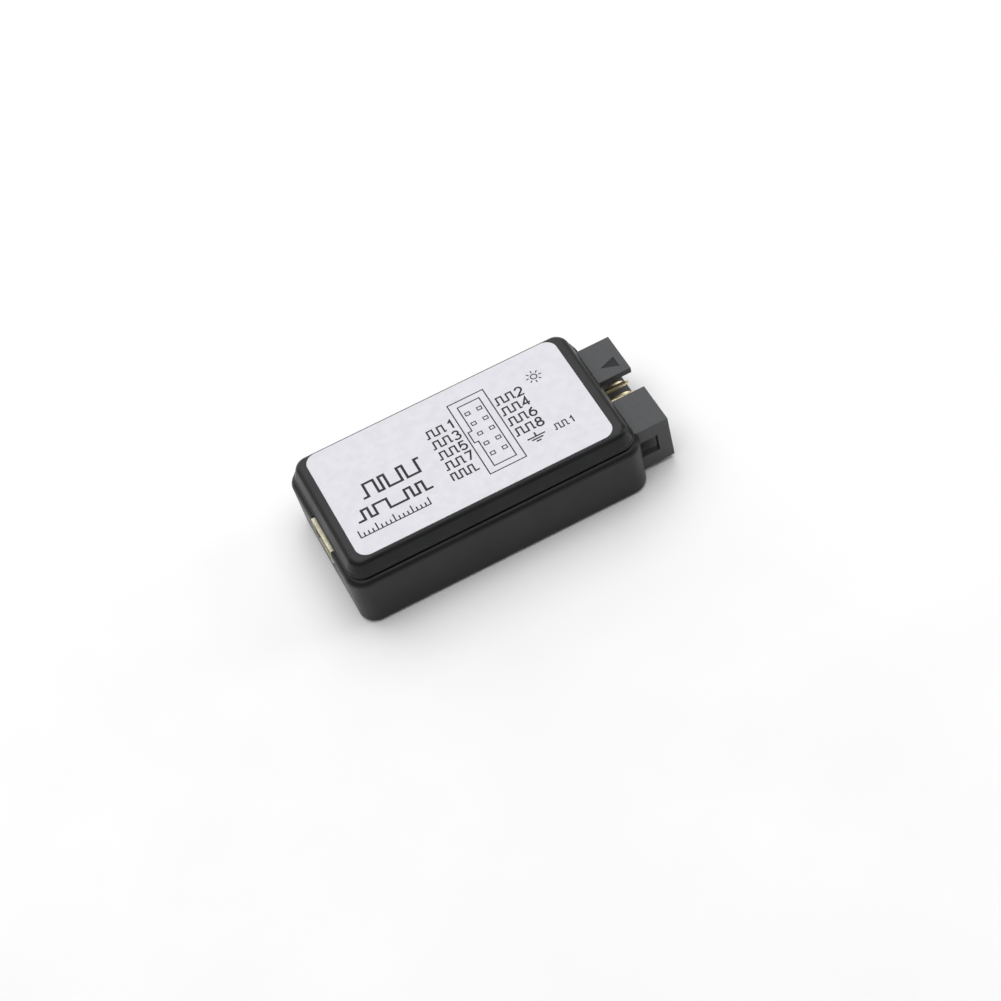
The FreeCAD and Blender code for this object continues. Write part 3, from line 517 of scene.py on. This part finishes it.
finish_node("lower_shell", "case_black", 0.12)
finish_node("top_cover", "case_black", 0.1)
finish_node("label", "label_white", 0.03, 2)
finish_node("circuit_board", "solder_mask", 0.06, 2)
finish_node("header_shroud", "header_black", 0.14)
finish_node("usb_shell", "usb_tin", 0.06, 2)
finish_node("usb_insulator", "insulator_black", 0.05, 2)
for number in range(1, 6):
    finish_node(f"usb_contact_{number}", "contact_gold", 0.03, 2)


# ---- Header and its pins -------------------------------------------------


def make_pin(number):
    """A square pin with a tapered tip, softened corners and a plain tail."""
    node = f"header_pin_{number:02d}"
    low, high = corners(node)
    middle, size = middle_and_size(node)
    tip, tip_scale, tail, tail_scale = 0.7, 0.42, 0.3, 0.7
    flat = 0.7
    octagon = ((1, flat), (flat, 1), (-flat, 1), (-1, flat),
               (-1, -flat), (-flat, -1), (flat, -1), (1, -flat))
    rings = []
    for x, scale in ((low.x, tail_scale), (low.x + tail, 1.0), (high.x - tip, 1.0), (high.x, tip_scale)):
        half = size.y / 2 * scale
        rings.append([(x, middle.y + y * half, middle.z + z * half) for y, z in octagon])
    bm = bmesh.new()
    loft(bm, rings)
    piece_from(f"pin_{number:02d}", bm, "pin_plating", [node], sharp=30.0)


def make_pin_mark():
    """The rough floor of the triangle recess that marks pin 1, coloured darker than the header: painted shade
    in the recess.
    """
    _, high = corners("header_shroud")
    base_x, middle_y = high.x - 1.3, 4.8
    half_width, reach, inset = 1.1, 2.6, 0.06
    outline = [(base_x - inset, middle_y - half_width + 2 * inset),
               (base_x - inset, middle_y + half_width - 2 * inset), (base_x - reach + 3 * inset, middle_y)]
    bm = bmesh.new()
    # a thin dark triangle on the recess floor, painted shade standing in for the shade in the recess
    add_prism(bm, outline, high.z - 0.2, 0.03)
    piece_from("pin_1_recess_shade", bm, "pin_mark")


for number in range(1, 11):
    make_pin(number)
make_pin_mark()


# ---- USB socket ---------------------------------------------------------


def make_usb_details():
    """Spring tongues, a seam and four soldered feet on the socket's sheet shell; the slots round the tongues
    and the seam are black strokes, painted shade for the gaps in the sheet.
    """
    _, high = corners("usb_shell")
    middle, size = middle_and_size("usb_shell")
    board_top = corners("circuit_board")[1].z
    bm = bmesh.new()
    for side in (-1, 1):
        y = middle.y + side * size.y / 4
        outline = rounded_outline((middle.x - 0.8, y), (3.4, 1.3), 0.3)
        # black outline round each tongue: painted shade for the cut slot
        add_stroke(bm, outline, 0.12, high.z - 0.01, 0.035, 1, closed=True)
        add_block(bm, (middle.x + 0.2, y, high.z + 0.02), (1.0, 0.8, 0.08), 0.03)
        for end in (-1, 1):
            foot_x = middle.x + end * size.x * 0.3
            foot_y = middle.y + side * (size.y / 2 + 0.1)
            add_block(bm, (foot_x, foot_y, board_top + 0.95), (1.5, 0.28, 1.9), 0.06)
            add_solder(bm, (foot_x, foot_y + side * 0.25), (2.3, 1.25), board_top - 0.01, 0.32, 2)
    # thin black strip along the top: painted shade for the seam gap
    add_block(bm, (middle.x + 0.4, middle.y, high.z + 0.005), (size.x - 1.6, 0.09, 0.03), 0.008, 1, finish=1)
    piece_from("usb_shell_details", bm, ["usb_tin", "insulator_black", "solder"])


make_usb_details()


# ---- Circuit board copper, solder and print ------------------------------

BOARD_UNDER, BOARD_TOP = (corner.z for corner in corners("circuit_board"))
COPPER = 0.035
ARRAY_PITCH = 0.8


def lead_rows(node, count, width, along_x):
    """Leads in two rows, as (side, offset, width), and the centres of their feet, near side first."""
    middle, size = middle_and_size(node)
    span, reach = (size.x, size.y) if along_x else (size.y, size.x)
    rows = []
    feet = []
    for side in (-1, 1):
        foot = side * (reach / 2 - 0.32)
        for index in range(count):
            offset = (index / (count - 1) - 0.5) * (span - width)
            rows.append((side, offset, width))
            x, y = (offset, foot) if along_x else (foot, offset)
            feet.append((middle.x + x, middle.y + y))
    return rows, feet


MEMORY_ROWS, MEMORY_FEET = lead_rows("memory_leads", 4, 0.42, True)
BUFFER_ROWS, BUFFER_FEET = lead_rows("buffer_leads", 10, 0.25, False)
REGULATOR_ROWS = [(-1, -2.3, 0.7), (-1, 0.0, 0.7), (-1, 2.3, 0.7), (1, 0.0, 3.0)]


def controller_pads():
    """Centres of the controller's edge pads by side."""
    middle, size = middle_and_size("controller_chip")
    reach = size.x / 2
    offsets = [(index - 6.5) * 0.5 for index in range(14)]
    return {"left": [(middle.x - reach, middle.y + offset) for offset in offsets],
            "right": [(middle.x + reach, middle.y + offset) for offset in offsets],
            "near": [(middle.x + offset, middle.y - reach) for offset in offsets],
            "far": [(middle.x + offset, middle.y + reach) for offset in offsets]}


CONTROLLER = controller_pads()


def header_tails(upper):
    """Centres of the pads under the header's pins on one face of the board, near pin first."""
    shroud_back = corners("header_shroud")[0].x
    places = []
    for number in range(2 if upper else 1, 11, 2):
        low, high = corners(f"header_pin_{number:02d}")
        places.append(((low.x + shroud_back) / 2, (low.y + high.y) / 2))
    return sorted(places, key=lambda place: place[1])


def elbow(start, end, share=0.5):
    """A track's corners: out along X, across at 45 degrees, and on along X."""
    run_x, run_y = end[0] - start[0], end[1] - start[1]
    slant = min(abs(run_x), abs(run_y))
    forward = math.copysign(1, run_x)
    turn_x = start[0] + forward * (abs(run_x) - slant) * share
    rise = math.copysign(slant, run_y)
    points = [start, (turn_x, start[1]), (turn_x + forward * slant, start[1] + rise), end]
    if abs(run_y) > abs(run_x):
        points[2:2] = [(turn_x, end[1] - rise)]
    kept = [start]
    for point in points:
        if math.dist(point, kept[-1]) > 0.05:
            kept.append(point)
    return kept


def make_copper():
    """Tracks under the solder mask, on the upper face. Returns the places of the vias."""
    bm = bmesh.new()
    vias = []

    def track(points, width):
        add_stroke(bm, points, width, BOARD_TOP - 0.01, COPPER)

    def route(start, end, width=0.2, share=0.5):
        points = elbow(start, end, share)
        if len(points) > 1:
            track(points, width)

    def via(x, y):
        vias.append((x, y))
        return (x, y)

    # inputs: header pins to the resistor arrays, and on through the buffer to the controller
    arrays = []
    for name in ("resistor_array_2", "resistor_array_1"):
        middle, size = middle_and_size(name)
        for index in range(4):
            arrays.append((middle.x, middle.y + (index - 1.5) * ARRAY_PITCH, size.x / 2))
    tails = header_tails(True)
    for index, (x, y, half) in enumerate(arrays):
        tail = tails[index // 2 + (1 if index > 5 else 0)]
        if index % 2:
            route((x + half, y), (tail[0] - 0.9, tail[1]), 0.22, 0.3)
        else:
            route((x + half, y), via(x + 1.55, y), 0.22)
        route(BUFFER_FEET[11 + index], (x - half, y), 0.18, 0.4)
    for index in range(10):
        if index in (3, 6):
            route(BUFFER_FEET[index], via(6.9, BUFFER_FEET[index][1]))
        else:
            route(BUFFER_FEET[index], CONTROLLER["right"][index + 2], 0.16, 0.25 + 0.05 * index)

    # memory chip
    for index, foot in enumerate(MEMORY_FEET[4:]):
        if index < 2:
            route(CONTROLLER["right"][index], foot, 0.16, 0.2)
        else:
            route(foot, via(foot[0], -3.6 - 0.5 * index))
    for index, foot in enumerate(MEMORY_FEET[:4]):
        route(foot, via(foot[0] + 0.2 * index, -10.6), 0.24)

    # USB contacts: the data pair and identity to the controller, power and ground to vias
    for index in range(5):
        low, high = corners(f"usb_contact_{index + 1}")
        start = (high.x - 0.2, (low.y + high.y) / 2)
        if index in (1, 2, 3):
            route(start, CONTROLLER["left"][5 + index], 0.2, 0.3 + 0.1 * index)
        else:
            route(start, via(-13.6, start[1] + (0.9 if index else -0.9)), 0.3)

    # controller stubs, and loose vias that tie the ground copper of both faces
    for index in (2, 5, 8, 11):
        x, y = CONTROLLER["near"][index]
        track([(x, y), via(x, y - 0.9 - 0.1 * index)], 0.16)
    for index in (4, 9):
        x, y = CONTROLLER["far"][index]
        track([(x, y), (x, y + 1.9)], 0.2)
    for x, y in ((-20.6, -5.6), (-18.9, -6.9), (-12.0, -10.4), (-6.0, -10.5), (0.6, -10.2), (8.6, -6.2),
                 (8.9, 6.4), (8.2, 9.4), (2.9, 6.4), (-10.6, 6.0), (-12.6, 9.6), (-13.4, 7.9),
                 (-20.8, 5.4), (-12.2, 0.4), (6.0, 4.6), (13.4, 9.6), (14.0, -9.6)):
        via(x, y)
    piece_from("copper_tracks", bm, "track_mask")
    return vias


def make_vias(places):
    """Tinned rings, each round a black disc painted as the shade in its bore, on both faces."""
    bm = bmesh.new()
    rise = 0.045
    for place in places:
        for base in (BOARD_TOP, BOARD_UNDER - rise):
            add_stroke(bm, circle_outline(place, 0.22, 16), 0.16, base, rise, closed=True)
            # black disc inside the ring: painted shade standing in for the open bore
            add_prism(bm, circle_outline(place, 0.15, 12), base, rise / 2, 1)
    piece_from("vias", bm, ["solder", "insulator_black"])


# Parts with a terminal at each end, by the axis that their ends lie along: 0 for X or 1 for Y.
TWO_ENDED = {"bulk_capacitor_1": 1, "bulk_capacitor_2": 0, "usb_fuse": 0, "ferrite_bead": 1,
             "power_led": 1, "channel_led": 1, "led_resistor_1": 1, "led_resistor_2": 1,
             **{f"ceramic_capacitor_{number}": 1 for number in range(1, 5)}}


def make_joints():
    """Solder at every foot, pad and tail."""
    bm = bmesh.new()

    def joint(x, y, length, width, height):
        add_solder(bm, (x, y), (length, width), BOARD_TOP - 0.012, height)

    for place in MEMORY_FEET:
        joint(*place, 0.6, 1.25, 0.13)
    for place in BUFFER_FEET:
        joint(*place, 1.0, 0.36, 0.12)
    for side, places in CONTROLLER.items():
        size = (0.75, 0.3) if side in ("left", "right") else (0.3, 0.75)
        for place in places:
            joint(*place, *size, 0.11)
    middle, size = middle_and_size("regulator_leads")
    for side, offset, _ in REGULATOR_ROWS:
        length = 1.1 if side < 0 else 3.6
        joint(middle.x + offset, middle.y + side * (size.y / 2 - 0.35), length, 1.4, 0.16)
    for number in range(1, 6):
        low, high = corners(f"usb_contact_{number}")
        joint(high.x - 0.45, (low.y + high.y) / 2, 1.3, 0.46, 0.14)
    middle, size = middle_and_size("crystal_base")
    for side in (-1, 1):
        joint(middle.x + side * size.x / 2, middle.y, 2.4, 1.3, 0.2)
    for place in header_tails(True):
        joint(*place, 2.5, 1.5, 0.3)
    for place in header_tails(False):
        add_prism(bm, rounded_outline(place, (2.5, 1.5), 0.4, 3), BOARD_UNDER - 0.28, 0.29)
    for name, axis in TWO_ENDED.items():
        middle, size = middle_and_size(name)
        for side in (-1, 1):
            if axis == 0:
                joint(middle.x + side * size.x / 2, middle.y, 0.9, size.y * 1.05, 0.2)
            else:
                joint(middle.x, middle.y + side * size.y / 2, size.x * 1.1, 0.8, 0.18)
    for name in ("resistor_array_1", "resistor_array_2"):
        middle, size = middle_and_size(name)
        for side in (-1, 1):
            for index in range(4):
                joint(middle.x + side * size.x / 2, middle.y + (index - 1.5) * ARRAY_PITCH, 0.7, 0.5, 0.15)
    piece_from("solder_joints", bm, "solder")


def make_silkscreen():
    """White component outlines, pin 1 dots and plain numbers on the board."""
    bm = bmesh.new()
    base, height, width = BOARD_TOP - 0.004, 0.022, 0.13
    margins = {"controller_chip": 1.1, "memory_chip": 0.35, "buffer_chip": 0.3, "regulator": 0.35,
               "crystal_base": 0.45, "bulk_capacitor_1": 0.8, "bulk_capacitor_2": 0.8,
               "power_led": 0.7, "channel_led": 0.7, "usb_fuse": 0.8, "ferrite_bead": 0.7}
    for name, margin in margins.items():
        middle, size = middle_and_size(name)
        outline = rounded_outline(middle, (size.x + 2 * margin, size.y + 2 * margin), 0.3, 2)
        add_stroke(bm, outline, width, base, height, closed=True)
    for name in ("controller_chip", "memory_chip", "buffer_chip"):
        low, _ = corners(name)
        add_prism(bm, circle_outline((low.x - 0.75, low.y - 0.9), 0.22, 16), base, height)
    part_numbers = ((-8.9, 4.6, 1.2), (8.2, -8.9, 1.1), (7.0, 3.9, 1.1), (-7.0, -5.5, 1.0),
                    (3.6, 10.4, 1.0), (-18.4, -10.4, 0.9), (-0.1, -10.6, 0.9), (13.6, 4.0, 0.9),
                    (-18.9, 8.6, 0.9), (-11.0, 4.9, 0.9))
    for number, (x, y, size) in enumerate(part_numbers, 1):
        add_number(bm, str(number), (x, y), size, width, base, height)
    for index, (x, y) in enumerate(reversed(header_tails(True))):
        add_number(bm, str(2 * index + 2), (x - 2.1, y + 0.75), 0.8, 0.12, base, height)
    piece_from("board_print", bm, "silkscreen")


make_vias(make_copper())
make_joints()
make_silkscreen()


# ---- Chips ---------------------------------------------------------------


def make_chip(node, mark, turn, draft=0.14):
    """A moulded chip body with drafted sides, a pin 1 ring and a laser-marked number."""
    low, high = corners(node)
    middle, size = middle_and_size(node)
    least = min(size.x, size.y)
    bm = bmesh.new()
    add_block(bm, middle, size, 0.06, 2, draft)
    piece_from(f"{node}_body", bm, "chip_epoxy", [node], sharp=50.0)
    bm = bmesh.new()
    spot = (low.x + size.x * 0.14 + draft, low.y + size.y * 0.14 + draft)
    radius = 0.055 * least + 0.08
    add_stroke(bm, circle_outline(spot, radius, 28), radius * 0.2, high.z - 0.02, 0.028, closed=True)
    add_number(bm, mark, middle, 0.2 * least, 0.022 * least, high.z - 0.003, 0.008, turn)
    piece_from(f"{node}_marking", bm, "mark_pale")


def make_leads(node, chip, rows, axis, radius=0.16):
    """Formed leads that reach along axis: out of the body, down, and along the board."""
    low, high = corners(node)
    middle, size = middle_and_size(node)
    body = middle_and_size(chip)[1][axis] / 2
    thickness = 0.15
    shoulder, foot = high.z - thickness / 2, low.z + thickness / 2
    path = [(body - 0.12, shoulder), (body + 0.28, shoulder), (body + 0.36, foot), (size[axis] / 2, foot)]
    bm = bmesh.new()
    for side, offset, width in rows:
        root = middle.copy()
        root[1 - axis] += offset
        add_bent_strip(bm, root, axis, side, path, width, thickness, radius)
    piece_from(f"{node}_formed", bm, "lead_tin", [node], sharp=40.0)


def make_controller_terminals():
    """The flat metal ends of the controller's contacts in its lower edge."""
    low, _ = corners("controller_chip")
    bm = bmesh.new()
    for side, places in CONTROLLER.items():
        size = (0.08, 0.24, 0.22) if side in ("left", "right") else (0.24, 0.08, 0.22)
        for place in places:
            add_block(bm, (*place, low.z + 0.16), size, 0.02, 1)
    piece_from("controller_terminals", bm, "lead_tin")


make_chip("controller_chip", "01", 0.0, draft=0.02)
make_chip("memory_chip", "02", math.pi / 2)
make_chip("buffer_chip", "03", math.pi / 2)
make_chip("regulator", "04", 0.0, draft=0.2)
make_leads("memory_leads", "memory_chip", MEMORY_ROWS, 1)
make_leads("buffer_leads", "buffer_chip", BUFFER_ROWS, 0)
make_leads("regulator_leads", "regulator", REGULATOR_ROWS, 1, 0.18)
make_controller_terminals()


# ---- Crystal and small parts ----------------------------------------------


def make_crystal():
    """Drawn can with a rolled flange on its plastic base, two terminals and a plain number."""
    finish_node("crystal_can", "crystal_steel", 0.35, 4)
    finish_node("crystal_base", "insulator_black", 0.08, 2)
    low, high = corners("crystal_can")
    middle, size = middle_and_size("crystal_can")
    bm = bmesh.new()
    add_prism(bm, rounded_outline(middle, (size.x + 0.5, size.y + 0.5), size.y / 2, 8), low.z - 0.002, 0.2)
    rim = [edge for edge in bm.edges if all(vertex.co.z > low.z + 0.1 for vertex in edge.verts)]
    bmesh.ops.bevel(bm, geom=rim, offset=0.07, segments=2, profile=0.5, affect="EDGES")
    add_number(bm, "24.000", middle, 1.1, 0.14, high.z - 0.004, 0.012, finish=1)
    base_low, base_high = corners("crystal_base")
    for side in (-1, 1):
        x = middle.x + side * (base_high.x - base_low.x) / 2
        add_block(bm, (x, middle.y, base_low.z + 0.22), (0.5, 0.7, 0.3), 0.06)
    piece_from("crystal_fittings", bm, ["crystal_steel", "insulator_black"])


def make_end_capped(node, body, share):
    """A fired chip part: a rounded body between two tinned ends."""
    middle, size = middle_and_size(node)
    axis = TWO_ENDED[node]
    bm = bmesh.new()
    inner = size - Vector((0.05, 0.05, 0.05))
    inner[axis] = size[axis] * (1 - share)
    add_block(bm, middle, inner, 0.05, 2)
    cap = size.copy()
    cap[axis] *= share
    for side in (-1, 1):
        place = middle.copy()
        place[axis] += side * (size[axis] - cap[axis]) / 2
        add_block(bm, place, cap, 0.07, 3, finish=1)
    piece_from(f"{node}_part", bm, [body, "lead_tin"], [node])


def make_resistor(node):
    """A glazed strip on a white substrate, tinned at both ends, with its value code."""
    low, high = corners(node)
    middle, size = middle_and_size(node)
    bm = bmesh.new()
    core = (size.x - 0.03, size.y * 0.96, size.z * 0.84)
    add_block(bm, (middle.x, middle.y, low.z + core[2] / 2), core, 0.03, 1, finish=1)
    add_block(bm, (middle.x, middle.y, high.z - 0.05), (size.x - 0.08, size.y * 0.62, 0.08), 0.03, 2)
    for side in (-1, 1):
        end = (middle.x, middle.y + side * size.y * 0.41, middle.z - 0.01)
        add_block(bm, end, (size.x, size.y * 0.18, size.z - 0.02), 0.05, 2, finish=2)
    add_number(bm, "102", middle, 0.36, 0.05, high.z - 0.014, 0.01, math.pi / 2, finish=1)
    piece_from(f"{node}_part", bm, ["resistor_black", "substrate", "lead_tin"], [node])


def make_resistor_array(node):
    """Four resistors on one substrate, with eight tinned terminals."""
    low, high = corners(node)
    middle, size = middle_and_size(node)
    bm = bmesh.new()
    core = (size.x - 0.16, size.y, size.z * 0.8)
    add_block(bm, (middle.x, middle.y, low.z + core[2] / 2), core, 0.04, 1, finish=1)
    add_block(bm, (middle.x, middle.y, high.z - 0.07), (size.x * 0.58, size.y * 0.95, 0.12), 0.04, 2)
    for index in range(4):
        y = middle.y + (index - 1.5) * size.y / 4
        for side in (-1, 1):
            end = (middle.x + side * size.x * 0.4, y, middle.z - 0.03)
            add_block(bm, end, (size.x * 0.2, size.y * 0.145, size.z * 0.9), 0.05, 2, finish=2)
    add_number(bm, "103", middle, 0.62, 0.07, high.z - 0.014, 0.012, math.pi / 2, finish=1)
    piece_from(f"{node}_part", bm, ["resistor_black", "substrate", "lead_tin"], [node])


def make_tantalum(node):
    """A moulded capacitor with folded end terminals, a polarity bar and a value code."""
    low, high = corners(node)
    middle, size = middle_and_size(node)
    axis = TWO_ENDED[node]
    bm = bmesh.new()
    body = size.copy()
    body[axis] -= 0.2
    body.z -= 0.08
    add_block(bm, (middle.x, middle.y, high.z - body.z / 2), body, 0.07, 2, 0.08)
    bar = body.copy()
    bar[axis] = 0.5
    bar[1 - axis] -= 0.36
    bar.z = 0.02
    bar_middle = Vector((middle.x, middle.y, high.z))
    bar_middle[axis] -= body[axis] / 2 - 0.62
    add_block(bm, bar_middle, bar, finish=1)
    code_middle = middle.copy()
    code_middle[axis] += 0.35
    turn = 0.0 if axis else math.pi / 2
    add_number(bm, "106", code_middle, 0.85, 0.12, high.z - 0.004, 0.014, turn, finish=1)
    thickness = 0.11
    outer, floor = size[axis] / 2 - thickness / 2, low.z + thickness / 2
    path = [(body[axis] / 2 - 0.1, middle.z), (outer, middle.z),
            (outer, floor), (size[axis] / 2 - 0.75, floor)]
    for side in (-1, 1):
        add_bent_strip(bm, middle, axis, side, path, size[1 - axis] * 0.62, thickness, 0.12, 2)
    piece_from(f"{node}_part", bm, ["tantalum_yellow", "mark_brown", "lead_tin"], [node])


def make_light_part(node, lens_finish):
    """A chip light: white base, gold ends and a tinted moulded lens."""
    low, _ = corners(node)
    middle, size = middle_and_size(node)
    bm = bmesh.new()
    base = 0.3
    dome = (size.x * 0.96, size.y * 0.62, size.z - base)
    add_block(bm, (middle.x, middle.y, low.z + base / 2), (size.x, size.y - 0.5, base), 0.03, 1, finish=1)
    add_block(bm, (middle.x, middle.y, middle.z + base / 2), dome, 0.09, 3)
    for side in (-1, 1):
        end = (middle.x, middle.y + side * (size.y / 2 - 0.16), low.z + 0.17)
        add_block(bm, end, (size.x, 0.32, 0.34), 0.03, 1, finish=2)
    piece_from(f"{node}_part", bm, [lens_finish, "substrate", "contact_gold"], [node])


make_crystal()
for number in range(1, 5):
    make_end_capped(f"ceramic_capacitor_{number}", "ceramic_tan", 0.3)
make_end_capped("usb_fuse", "fuse_green", 0.2)
make_end_capped("ferrite_bead", "ferrite_grey", 0.24)
for number in (1, 2):
    make_resistor(f"led_resistor_{number}")
    make_resistor_array(f"resistor_array_{number}")
    make_tantalum(f"bulk_capacitor_{number}")
make_light_part("power_led", "led_red")
make_light_part("channel_led", "led_green")


# ---- Label print --------------------------------------------------------


def make_label_print():
    """Connector diagram, channel numbers and plain pictograms, printed on the label."""
    middle, _ = middle_and_size("label")
    base, height = corners("label")[1].z - 0.004, 0.016
    bm = bmesh.new()

    def spot(x, y):
        return (middle.x + x, middle.y + y)

    def line(points, width, closed=False):
        add_stroke(bm, [spot(*point) for point in points], width, base, height, closed=closed)

    def rectangle(x, y, length, width, pen):
        x_half, y_half = length / 2, width / 2
        line([(x - x_half, y - y_half), (x + x_half, y - y_half),
              (x + x_half, y + y_half), (x - x_half, y + y_half)], pen, True)

    def number(text, x, y, size, pen):
        add_number(bm, text, spot(x, y), size, pen, base, height)

    def wave(x, y, steps, size, pen):
        """A square wave from low; steps are the lengths of its level runs. A first 0 opens it with a rise."""
        points = [(0.0, 0)]
        for level, step in enumerate(steps):
            across = points[-1][0] + step
            points += [(across, level % 2), (across, 1 - level % 2)]
        first = 1 if steps[0] == 0 else 0
        line([(x + across, y + (up - 0.5) * size) for across, up in points[first:-1]], pen)

    # the header seen from its mouth: outline, cavity with key slot, and pins
    rectangle(4.94, 0.15, 6.16, 16.0, 0.19)
    left, right, near, far = 3.08, 6.84, -6.72, 6.95
    slot_near, slot_far, slot_depth = -0.95, 1.45, 0.68
    line([(left, near), (right, near), (right, far), (left, far), (left, slot_far),
          (left - slot_depth, slot_far), (left - slot_depth, slot_near), (left, slot_near)], 0.19, True)
    pin_pitch, pin_far = 2.32, 4.98
    for row in range(5):
        for x in (3.96, 6.0):
            rectangle(x, pin_far - row * pin_pitch, 0.72, 0.62, 0.17)

    # channel marks beside the pins: a pulse and a number, odd on the left and even on the right
    row_pitch, row_far = 2.43, 4.5
    for row in range(4):
        y = row_far - row * row_pitch
        for x, channel in ((-3.5, 2 * row + 1), (8.45, 2 * row + 2)):
            wave(x, y, (0.45, 0.85, 0.85, 0.85, 0.35), 1.45, 0.27)
            number(str(channel), x + 4.2, y, 1.75, 0.3)
    last = row_far - 4 * row_pitch
    wave(-3.35, last, (0.0, 0.72, 0.72, 0.72, 0.72, 0.72, 0.72), 1.45, 0.27)
    earth_x = 11.0
    line([(earth_x, last + 0.95), (earth_x, last + 0.23)], 0.28)
    for bar, half_width in enumerate((1.5, 0.95, 0.4)):
        y = last + 0.1 - bar * 0.5
        line([(earth_x - half_width, y), (earth_x + half_width, y)], 0.26)

    # two lights: a lamp with rays for power, and a small pulse for channel 1
    lamp = (15.9, 5.9)
    line(circle_outline(lamp, 0.5, 28), 0.18, True)
    for inner, outer in zip(circle_outline(lamp, 0.82, 8), circle_outline(lamp, 1.3, 8)):
        line([inner, outer], 0.18)
    wave(14.0, -5.2, (0.35, 0.6, 0.6, 0.6, 0.3), 1.1, 0.2)
    number("1", 17.0, -5.2, 1.3, 0.22)

    # title block: two traces and a tick scale
    wave(-16.6, 0.1, (0.9, 1.7, 0.9, 0.9, 2.2, 0.9, 2.1, 0.8), 2.7, 0.42)
    wave(-19.1, -4.1, (1.2, 1.0, 1.0, 2.2, 3.0, 1.0, 1.0, 1.0, 1.2), 2.0, 0.4)
    scale_y, scale_pen, ticks = -7.95, 0.2, 17
    first_tick, last_tick = -19.9, -8.2
    line([(first_tick - scale_pen / 2, scale_y), (last_tick + scale_pen / 2, scale_y)], scale_pen)
    for tick in range(ticks):
        x = first_tick + tick * (last_tick - first_tick) / (ticks - 1)
        line([(x, scale_y + scale_pen / 2), (x, scale_y + (0.8 if tick % 4 else 1.5))], 0.22)
    piece_from("label_print", bm, "ink", body=COVER)


make_label_print()


# ---- Floor, light and camera --------------------------------------------


def make_floor():
    """A wide round of pale paper just under the case."""
    bm = bmesh.new()
    bmesh.ops.create_circle(bm, cap_ends=True, radius=3.0, segments=96)
    mesh = bpy.data.meshes.new("floor")
    bm.to_mesh(mesh)
    bm.free()
    floor = bpy.data.objects.new("floor", mesh)
    floor.location.z = cad_box[0].z - 0.02 * MM
    look = Finish("floor_paper", Roughness=0.9, Specular_IOR_Level=0.1)
    cloud = look.spread(look.noise(40.0), 0.3, 0.7)
    shade = look.mix(cloud, linear((248, 248, 248)), linear((252, 252, 252)))
    mesh.materials.append(look.paint(shade))
    bpy.context.scene.collection.objects.link(floor)


def add_softbox(name, place, aim, size, power):
    """A rectangular soft light that faces a point."""
    lamp = bpy.data.lights.new(name, "AREA")
    lamp.shape = "RECTANGLE"
    lamp.size, lamp.size_y = size
    lamp.energy = power
    box = bpy.data.objects.new(name, lamp)
    box.location = place
    box.rotation_euler = (Vector(aim) - Vector(place)).to_track_quat("-Z", "Y").to_euler()
    bpy.context.scene.collection.objects.link(box)


def make_light():
    """A dim white surround, a soft key overhead, a wide backdrop light and a small fill."""
    world = bpy.data.worlds.new("studio")
    world.use_nodes = True
    world.node_tree.nodes["Background"].inputs["Color"].default_value = (1.0, 1.0, 1.0, 1.0)
    world.node_tree.nodes["Background"].inputs["Strength"].default_value = 0.2
    bpy.context.scene.world = world
    add_softbox("key", (0.0, 0.16, 0.75), (0, 0, 0), (1.1, 1.2), 7.6)
    add_softbox("backdrop", (0.0, 1.3, 0.45), (0, 0, 0.1), (2.6, 0.9), 7.0)
    add_softbox("right_fill", (0.8, -0.1, 0.35), (0, 0, 0), (0.3, 0.4), 1.0)


def make_camera():
    """A long lens that looks down on the case from its near long side, turned to its slant."""
    azimuth, elevation, roll = math.radians(-12.59), math.radians(50.28), math.radians(-16.58)
    distance = 390.5 * MM
    aim = Vector((1.97, -8.12, 7.0)) * MM
    back = Vector((math.sin(azimuth) * math.cos(elevation),
                   -math.cos(azimuth) * math.cos(elevation), math.sin(elevation)))
    level = (-back).cross(Vector((0, 0, 1))).normalized()
    upright = level.cross(-back)
    right = math.cos(roll) * level + math.sin(roll) * upright
    up = back.cross(right)
    data = bpy.data.cameras.new("camera")
    data.sensor_width = 36.0
    data.lens = 92.0
    data.clip_start, data.clip_end = 0.01, 20.0
    camera = bpy.data.objects.new("camera", data)
    facing = Matrix((right, up, back)).transposed().to_4x4()
    camera.matrix_world = Matrix.Translation(aim + back * distance) @ facing
    bpy.context.scene.collection.objects.link(camera)
    bpy.context.scene.camera = camera


make_floor()
make_light()
make_camera()
bpy.context.scene.view_settings.view_transform = "Standard"
